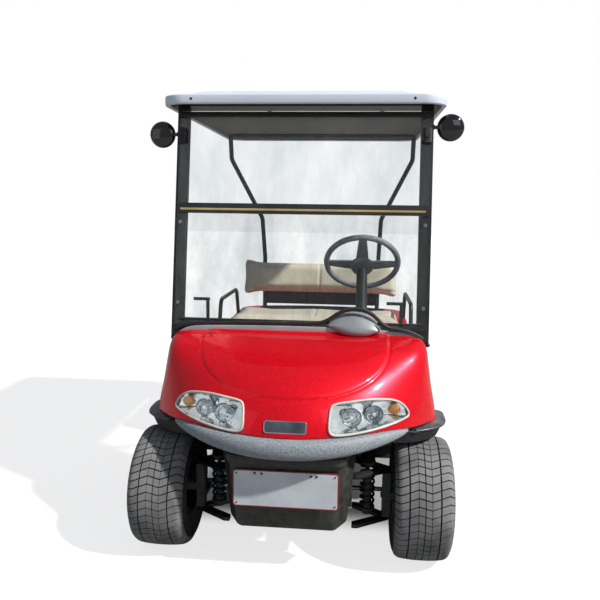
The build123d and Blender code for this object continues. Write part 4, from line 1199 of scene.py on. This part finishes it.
ribs = (
    # from, to, steps across
    (-103.6, -57.0, 6),
    (-51.5, -24.4, 3),
    (-22.2, -1.8, 2),
    (1.8, 22.2, 2),
    (24.4, 51.5, 3),
    (57.0, 103.6, 6),
)
groove_share = 0.078
block_depth, shoulder_x, edge_x, edge_inset = 8.0, 92, 99, 2.5


def tread_block(x_from, x_to, steps, pitch):
    """One block: its outer surface, and the same outline let into the carcass."""
    points = []
    for depth in (0, 1):
        for step in range(steps + 1):
            x = x_from + (x_to - x_from) * step / steps
            radius = profile_radius(x) - depth * (block_depth - 0.35 * max(0, abs(x) - shoulder_x))
            drawn = x - math.copysign(edge_inset * depth, x) if abs(x) > edge_x else x
            for edge in (groove_share, 0.5, 1 - groove_share):
                angle = (pitch + edge + wave(x)) * pitch_angle
                points.append((drawn, radius * math.cos(angle), radius * math.sin(angle)))
    faces = []
    half = 3 * (steps + 1)
    for step in range(steps):
        for side in range(2):
            a = step * 3 + side
            faces.append((a, a + 1, a + 4, a + 3))
            faces.append((half + a + 3, half + a + 4, half + a + 1, half + a))
        for a in (step * 3, step * 3 + 2):
            faces.append((a, a + 3, half + a + 3, half + a))
    for side in range(2):
        for a in (side, steps * 3 + side):
            faces.append((a, a + 1, half + a + 1, half + a))
    return points, faces


points, faces = [], []
for pitch in range(pitches):
    for x_from, x_to, steps in ribs:
        new_points, new_faces = tread_block(x_from, x_to, steps, pitch)
        faces += [tuple(index + len(points) for index in face) for face in new_faces]
        points += new_points
tread = solid("tread", points, faces)
carcass_outline = [(x * 0.985, r - 7) for x, r in outer_profile[1:-1]]
side_wall = [(104, 196), (107, 184), (108, 170), (106.5, 156), (103, 143), (99, 134), (94, 126), (91, 118),
             (88.3, 113), (88, 103.5), (82, 103.3)]
carcass_outline += side_wall + [(-x, r) for x, r in side_wall[::-1]]
carcass = turned("carcass", carcass_outline, steps=96)
bead_rings = []
for x, radius in ((-107.0, 176), (-104.2, 150), (107.0, 176), (104.2, 150)):
    ring_path = [(x, a, b) for a, b in circle(radius, 96)]
    bead_rings.append(swept("ring", ring_path, circle(1.6, 6), up=(1, 0, 0), loop=True))
carcass = join("carcass", carcass, *bead_rings)
print("one tread:", len(tread.data.polygons), "faces; carcass:", len(carcass.data.polygons))

# %% [markdown]
# ## Rims
# The wheel centre is a pressed steel disc: a dished lathe turning with four nuts, a dust cap and a valve.
# %% Rim pieces
half_barrel = [(40, 98), (84, 102.8), (88.3, 103.3), (88.4, 109), (89, 111.8), (92, 111.5), (94, 108),
               (93, 99)]
dish = [(60, 95), (36, 93), (33, 88), (32, 80), (36, 70), (44, 60), (47, 52), (46, 36), (45, 0), (34, 0),
        (33, 50), (28, 62), (26, 78), (26, 91), (20, 94), (-60, 94)]
rim_outline = [(-x, r) for x, r in half_barrel[::-1]] + half_barrel + dish
rim_form = turned("rim_form", rim_outline, steps=80)
nuts = []
for index in range(4):
    angle = math.tau * (index + 0.5) / 4
    y, z = 52 * math.cos(angle), 52 * math.sin(angle)
    nuts.append(rod("nut", (44, y, z), (56, y, z), 11, 6, 10))
    nuts.append(rod("nut_cap", (55, y, z), (61, y, z), 8.5, 16, 4))
cap = turned("cap", [(44, 0), (44, 31), (50, 31), (60, 27), (62, 22), (62.5, 0)], steps=48)
valve = rod("valve", (33, 0, 84), (58, 0, 86), 4, 12, 3)
bright_parts = join("rim_bright", cap, *nuts)
print("rim parts ready")

# %% [markdown]
# The tread, sidewall, rim, valve and bright parts are made once about the origin. Each wheel gets its own
# copies, moved to its place. The wheels on the -X side are turned round, so that the dished face looks
# outwards.
# %% Place the four wheels
half_track, front_y, rear_y = 487, -866, 815
# the rim's inner barrel, nearer the middle of the cart than this, is painted black: painted shade
barrel_shade_x = 507
for place, side, wheel_y in (("front_left", 1, front_y), ("front_right", -1, front_y),
                             ("rear_left", 1, rear_y), ("rear_right", -1, rear_y)):
    for source, name, material, slot_name, replaced, angle in (
            (tread, "tread", tyre_rubber, "tyre_rubber", [f"tyre_{place}"], 28),
            (carcass, "sidewall", side_rubber, "tyre_rubber", (), 40),
            (rim_form, "rim", [wheel_paint, steel_black], "wheel_white", [f"rim_{place}"], 40),
            (valve, "valve", seal_rubber, "wheel_white", (), 40),
            (bright_parts, "wheel_cap", zinc, "wheel_white", (), 40)):
        piece = copy_of(source, f"{name}_{place}")
        piece.rotation_euler = (0, 0, 0 if side > 0 else math.pi)
        piece.location = Vector((side * half_track, wheel_y, tyre_radius)) * MM
        finish(piece, f"wheel_{place}", material, slot_name, replaced, angle)
        # the inner barrel takes the black steel finish: painted shade inside the wheel
        if name == "rim":
            for face in piece.data.polygons:
                face.material_index = int(side * face.center.x < barrel_shade_x * MM)
for source in (tread, carcass, rim_form, valve, bright_parts):
    bpy.data.objects.remove(source)

# %% [markdown]
# ## Steering wheel
# A thick moulded ring with finger grips at the back, three flat spokes and a domed middle. It is made flat
# at the origin and then laid on the column, which rises 42 degrees above level.
# %% Steering wheel
clear_selection()
ring_radius = 0.159
bpy.ops.mesh.primitive_torus_add(major_radius=ring_radius, minor_radius=0.013, major_segments=120,
                                 minor_segments=18)
ring = named("grip")
for vertex in ring.data.vertices:
    angle = math.atan2(vertex.co.y, vertex.co.x)
    centre = Vector((math.cos(angle), math.sin(angle), 0)) * ring_radius
    swell = 1.0 - 0.10 * (0.5 + 0.5 * math.cos(angle * 40)) * (1 if vertex.co.z < 0 else 0)
    vertex.co = centre + (vertex.co - centre) * swell
spokes = []
for degrees_round in (0, 180, 270):
    spoke = box_of("spoke", (30, 152), (-17, 17), (-17, -8))
    reshape(spoke, "VERT", lambda place, normal: place.x < 0.05,
            bpy.ops.transform.resize, value=(1, 1.7, 1), center_override=(0, 0, 0))
    reshape(spoke, "VERT", lambda place, normal: place.x > 0.14,
            bpy.ops.transform.translate, value=(0, 0, 0.010))
    modify(spoke, "BEVEL", width=0.003, segments=3, limit_method="ANGLE", angle_limit=math.radians(30))
    spoke.rotation_euler = (0, 0, math.radians(degrees_round))
    spokes.append(bake_place(spoke))
middle = stacked("middle", ((30, -37), (46, -35), (51, -26), (51, -12), (46, -7), (30, -4), (10, -3)))
shaft = rod("shaft", (0, 0, -400), (0, 0, -30), 10.9)
pad = stacked("pad", ((36, -7), (36, -4), (33, -2), (12, -0.5)))
column_lean = math.radians(48)


def lay_on_column(piece):
    """Lean a piece made flat at the origin, and move it to the head of the column."""
    piece.rotation_euler = (-column_lean, 0, 0)
    piece.location = Vector((249, -332, 1070)) * MM
    return bake_place(piece)


wheel_body = lay_on_column(join("wheel_ring", ring, middle, *spokes))
finish(wheel_body, "steering", grip_rubber, "grip_rubber", ["steering_wheel"], 40)
finish(lay_on_column(pad), "steering", dash_plastic, "grip_rubber")
finish(lay_on_column(shaft), "steering", zinc, "bare_steel")

# %% [markdown]
# ## Seat cushions
# A stuffed cushion is a tight skin over foam. Start a little smaller than the real thing, remesh it finely
# and let Blender's cloth blow it up from inside for twenty frames. No point may move more than a cap. The
# seams come afterwards, because a remesh would erase them.
# %% Stuffing
voxel_size, foam_pressure = 0.010, 4.0
seam_depth, seam_width = 0.005, 0.008


def stuffed(piece, cap):
    """Swell a closed form as foam swells its cover. No point moves more than the cap, in metres."""
    select_only(piece)
    piece.data.remesh_voxel_size = voxel_size
    bpy.ops.object.voxel_remesh()
    rest = [vertex.co.copy() for vertex in piece.data.vertices]
    cloth = piece.modifiers.new("Cloth", "CLOTH")
    cloth.settings.use_pressure = True
    cloth.settings.uniform_pressure_force = foam_pressure
    cloth.settings.effector_weights.gravity = 0.0
    for frame_number in range(1, 21):
        scene.frame_set(frame_number)
    select_only(piece)
    bpy.ops.object.modifier_apply(modifier="Cloth")
    for vertex, start in zip(piece.data.vertices, rest):
        move = vertex.co - start
        if move.length > cap:
            vertex.co = start + move.normalized() * cap
    scene.frame_set(1)
    modify(piece, "SMOOTH", factor=0.5, iterations=4)
    return modify(piece, "SUBSURF", levels=1, render_levels=1)


def seam(piece, distance_at):
    """Press a sewn channel into a cushion: distance_at(place) is how far a point is from the seam."""
    presses = [vertex.normal * seam_depth * math.exp(-(distance_at(vertex.co) / seam_width) ** 2)
               for vertex in piece.data.vertices]
    for vertex, press_in in zip(piece.data.vertices, presses):
        vertex.co -= press_in
    piece.data.update()


print("stuffing and seams ready")

# %% [markdown]
# The bench cushion has a rolled front edge and two shallow seats. One seam runs across behind the front
# roll, one runs near the back, and one divides the seats.
# %% Bench cushion
seat_half = 486
cushion = box_of("bench_cushion", (-seat_half, seat_half), (112, 550), (634, 708))
modify(cushion, "BEVEL", width=0.030, segments=5, limit_method="NONE")
stuffed(cushion, cap=0.024)
quarter, roll_y, roll_run, roll_lift, seat_dip = 0.245, 0.15, 0.07, 0.006, 0.009
for vertex in cushion.data.vertices:
    place = vertex.co
    if place.z > 0.69:
        two_seats = math.cos((abs(place.x) - quarter) / quarter * math.pi / 2)
        front_roll = math.exp(-((place.y - roll_y) / roll_run) ** 2)
        place.z += roll_lift * front_roll - seat_dip * max(0.0, two_seats) * (1 - front_roll)
cushion.data.update()
for line in (0.205, 0.50):
    seam(cushion, lambda place: abs(place.y - line) + (1.0 if place.z < 0.66 else 0.0))
seam(cushion, lambda place: abs(place.x) + (1.0 if place.y < 0.21 or place.z < 0.69 else 0.0))
pan_top = 0.6195
for vertex in cushion.data.vertices:
    vertex.co.z = max(vertex.co.z, pan_top)
finish(cushion, "seat", vinyl, "seat_vinyl", ["seat_cushion"], 60)

# %% [markdown]
# The backrest leans back 14 degrees. It is stuffed upright at the origin, given two seams, and then leaned
# into place.
# %% Backrest
back = box_of("backrest", (-seat_half, seat_half), (12, 74), (14, 236))
modify(back, "BEVEL", width=0.026, segments=5, limit_method="NONE")
stuffed(back, cap=0.022)
seam(back, lambda place: abs(place.x) + (1.0 if place.y > 0.03 else 0.0))
for line in (0.045, 0.205):
    seam(back, lambda place: abs(place.z - line) + (1.0 if place.y > 0.04 else 0.0))
back.rotation_euler = (-math.radians(14), 0, 0)
back.location = (0, 0.628, 0.772)
finish(back, "root", vinyl, "seat_vinyl", ["seat_back"], 60)

# %% [markdown]
# ## Front suspension
# Two V-shaped arms a side carry the upright, and a coil-over shock stands between them under a ribbed
# rubber boot.
# %% Front suspension
joint_x, shock_x = 360, 288


def upright(name, x, low, high, radius):
    """An upright rod on the front axle's line."""
    return rod(name, (x, front_y, low), (x, front_y, high), radius)


def wishbone(height):
    """One V-shaped arm, with the boss at its outer end."""
    outline = [(230.5, -960), (252, -960), (366, -884), (375, -866), (366, -848), (252, -772),
               (230.5, -772), (230.5, -800), (330, -862), (330, -870), (230.5, -932)]
    arm = prism("wishbone", outline, "Z", (height - 8, height + 8))
    modify(arm, "BEVEL", width=0.003, segments=2, limit_method="ANGLE", angle_limit=math.radians(30))
    return [arm, upright("boss", joint_x, height - 8, height + 8, 15)]


arms = wishbone(138) + wishbone(330)
arms += [upright("lower_pin", joint_x, 146, 168, 9), upright("upper_pin", joint_x, 322, 300, 9)]
finish(with_twin("suspension_arms", join("arms", *arms)), "root", steel_black, "black_steel",
       ["front_suspension"])

coil_turns, coil_steps, coil_foot, coil_rise = 7, 140, 178, 176
coil_path = []
for i in range(coil_steps + 1):
    turn = math.tau * coil_turns * i / coil_steps
    coil_path.append((shock_x + 25 * math.cos(turn), front_y + 25 * math.sin(turn),
                      coil_foot + coil_rise * i / coil_steps))
coil = swept("coil", coil_path, circle(5, 8))
finish(with_twin("coils", coil), "root", steel_black, "black_steel")

shock = [upright("shock_body", shock_x, 150, 300, 17), upright("shock_rod", shock_x, 300, 434, 8)]
shock += [upright("spring_seat", shock_x, z, z + 5, 30) for z in (170, 355)]
finish(with_twin("shocks", join("shock", *shock)), "root", cast_iron, "bare_steel")

boot_rings = []
for i in range(49):
    share = i / 48
    boot_rings.append((24 + 5 * math.cos(share * math.tau * 8) - 4 * share, 362 + 70 * share))
boot = stacked("boot", boot_rings, (shock_x, front_y), 28)
finish(with_twin("boots", boot), "root", seal_rubber, "black_plastic")

# %% [markdown]
# ## Tail lamps
# Each tail lamp is divided into a black rim and the red lens inside it. A merged copy of the solid gives
# both: boxes keep the middle for the lens and take it out of the rim.
# %% Tail lamps
for name, operation, material, slot_name, replaced in (
        ("tail_rims", "DIFFERENCE", black_plastic, "black_plastic", ()),
        ("tail_lenses", "INTERSECT", lamp_red, "lamp_red", ["tail_lamps"])):
    piece = outward(copy_of(nodes["tail_lamps"], name))
    cut(piece, with_twin("windows", box_of("window", (443, 491), (900, 1250), (528, 592))), operation)
    finish(piece, "root", material, slot_name, replaced)

# %% [markdown]
# ## Everything that keeps its CAD form
# These solids already have their real shape, so they only need a finish and slightly rounded edges. A Bevel
# modifier gives the edges their highlight without touching the solid itself.
# %% Dress the CAD solids
dressed = {
    # node: finish, width of the rounded edge in millimetres
    "chassis_frame": (frame_paint, 1.5), "battery_block": (battery_plastic, 2.0),
    "rear_axle": (cast_iron, 1.5), "rear_springs": (steel_black, 1.0), "knuckle_left": (cast_iron, 1.0),
    "knuckle_right": (cast_iron, 1.0), "tie_rods": (zinc, 0), "steering_column": (steel_black, 1.0),
    "pedals": (steel_black, 1.0), "floor_pan": (floor_rubber, 1.5), "sill_panels": (black_plastic, 2.0),
    "dash": (dash_plastic, 2.5), "seat_base": (black_plastic, 1.0), "seat_pan": (seat_board, 1.0),
    "seat_hinges": (zinc, 0), "rear_body": (red, 1.2), "rear_flares": (black_plastic, 1.5),
    "rear_bumper": (black_plastic, 2.0), "bag_well": (black_plastic, 1.2),
    "sweater_basket": (black_plastic, 1.0), "hip_restraints": (steel_black, 0),
    "rear_struts": (steel_black, 0), "front_struts": (steel_black, 2.5),
    "windscreen_lower": (screen_smoked, 0), "windscreen_upper": (screen_clear, 0),
    "windscreen_hinge": (seal_rubber, 2.0),
}
for name, (material, bevel) in dressed.items():
    node = nodes[name]
    node.data.materials.clear()
    node.data.materials.append(material)
    if bevel:
        modifier = node.modifiers.new("Soft edges", "BEVEL")
        modifier.width = bevel * MM
        modifier.segments = 2
        modifier.limit_method = "ANGLE"
        modifier.angle_limit = math.radians(40)
        modifier.use_clamp_overlap = True
print(len(dressed), "solids dressed")
left = [name for name, node in nodes.items() if not node.hide_render and name not in dressed]
print("nodes neither dressed nor replaced:", left)

# %% [markdown]
# ## Floor, light and camera
# A plain pale floor lies under the cart. Its finish glows a little to the camera, except under the cart,
# where the glow fades out as a painted shade.
# %% Floor
def seen_directly(tree):
    """1 for a ray from the camera or through a clear sheet, and 0 for any other."""
    rays = add_node(tree, "ShaderNodeLightPath", {}).outputs
    either = {0: rays["Is Camera Ray"], 1: rays["Is Transmission Ray"]}
    return add_node(tree, "ShaderNodeMath", either, operation="MAXIMUM").outputs["Value"]


# the second number is how much of the glow the painted shade under the cart takes away
floor_glow, painted_shade_depth = 0.76, 0.92


def pale_floor():
    """Dull and pale, with a glow for the camera that fades out under the cart: a painted shade there."""
    shader = Shader("floor_pale", Roughness=0.85, Emission_Color=(1.0, 1.0, 1.0, 1.0))
    shader.drive("Base Color", shader.ramp(shader.noise(0.8, 3.0), (0.3, 0.22), (0.7, 0.26)))
    place = shader.add("ShaderNodeSeparateXYZ", {"Vector": shader.place}).outputs
    sideways = shader.calculate("ABSOLUTE", place["X"])
    # painted shade: a soft box under the cart where the camera glow is taken away
    painted_shade = painted_shade_depth
    for socket, start, stop in ((sideways, 0.62, 0.42), (place["Y"], -0.76, -0.56), (place["Y"], 1.25, 0.95)):
        inputs = {"Value": socket, "From Min": start, "From Max": stop}
        fade = shader.add("ShaderNodeMapRange", inputs, interpolation_type="SMOOTHSTEP").outputs["Result"]
        painted_shade = shader.calculate("MULTIPLY", painted_shade, fade)
    glow = shader.calculate("MULTIPLY", floor_glow, shader.calculate("SUBTRACT", 1.0, painted_shade))
    shader.drive("Emission Strength", shader.calculate("MULTIPLY", glow, seen_directly(shader.tree)))
    return shader.material


clear_selection()
bpy.ops.mesh.primitive_plane_add(size=60)
floor = named("floor")
floor.data.materials.append(pale_floor())
print(floor.name, "laid")

# %% [markdown]
# The world has two backgrounds: plain white for rays from the camera or through a clear sheet, and a soft
# pale blue one that lights the cart. A sun high on the +X side, a little in front, does most of the lighting.
# A small key light, a fill light and a light from behind give the paint its long reflections.
# %% World and lights
world = bpy.data.worlds.new("studio")
scene.world = world
world.use_nodes = True
sky = world.node_tree
sky.nodes.clear()
white = add_node(sky, "ShaderNodeBackground", {"Color": (1.0, 1.0, 1.0, 1.0), "Strength": 1.0})
soft = add_node(sky, "ShaderNodeBackground", {"Color": (0.80, 0.88, 1.0, 1.0), "Strength": 0.30})
backgrounds = {"Fac": seen_directly(sky), 1: soft.outputs["Background"], 2: white.outputs["Background"]}
choose = add_node(sky, "ShaderNodeMixShader", backgrounds)
add_node(sky, "ShaderNodeOutputWorld", {"Surface": choose.outputs["Shader"]})


def light(name, kind, power, colour, place, target, **settings):
    """A light at a place, turned to a target."""
    lamp = bpy.data.lights.new(name, kind)
    for key, value in {"energy": power, "color": colour, **settings}.items():
        setattr(lamp, key, value)
    holder = bpy.data.objects.new(name, lamp)
    scene.collection.objects.link(holder)
    holder.location = place
    holder.rotation_euler = (Vector(target) - Vector(place)).to_track_quat("-Z", "Y").to_euler()


sun_size = math.radians(2)
light("sun", "SUN", 5.8, (1.0, 0.96, 0.9), (0, 0, 0), (-1.0, 0.38, -1.0), angle=sun_size)
for name, power, colour, place, target, width, height in (
        ("key", 14, (1, 1, 1), (2.6, -4.2, 3.4), (0, -0.6, 0.8), 2.4, 1.6),
        ("fill", 11, (0.86, 0.92, 1.0), (-3.4, -3.8, 2.2), (0, -0.5, 0.7), 3.0, 2.4),
        ("back", 30, (1, 1, 1), (0.5, 4.2, 3.2), (0, 0.5, 1.0), 3.5, 1.5)):
    light(name, "AREA", power, colour, place, target, shape="RECTANGLE", size=width, size_y=height)
print(len(bpy.data.lights), "lights")

# %% [markdown]
# The camera stands in front at chest height. Its turn is built from three angles: left of straight ahead,
# down, and a slight roll.
# %% Camera
yaw, pitch, roll = math.radians(5.17), math.radians(8.38), math.radians(0.76)
level = Vector((math.cos(yaw), math.sin(yaw), 0))
forward = Vector((-math.sin(yaw) * math.cos(pitch), math.cos(yaw) * math.cos(pitch), -math.sin(pitch)))
above = level.cross(forward)
right = level * math.cos(roll) + above * math.sin(roll)
up = above * math.cos(roll) - level * math.sin(roll)
lens = bpy.data.cameras.new("camera")
lens.lens = 37.68
lens.sensor_width = 36
camera = bpy.data.objects.new("camera", lens)
scene.collection.objects.link(camera)
turn = Matrix((right, up, -forward)).transposed().to_4x4()
camera.matrix_world = Matrix.Translation((0.227, -3.165, 1.313)) @ turn
scene.camera = camera
scene.view_settings.view_transform = "Standard"
floor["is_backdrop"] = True
print("camera at", tuple(camera.matrix_world.translation))

# %% [markdown]
# ## Finish
# The box of the dressed cart is put beside the CAD box, and the dressed box is printed.
# %% Finish
made_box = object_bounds()
sizes = {"cad": [list(corner) for corner in cad_box], "dressed": [list(corner) for corner in made_box]}
print("dressed box", sizes["dressed"])
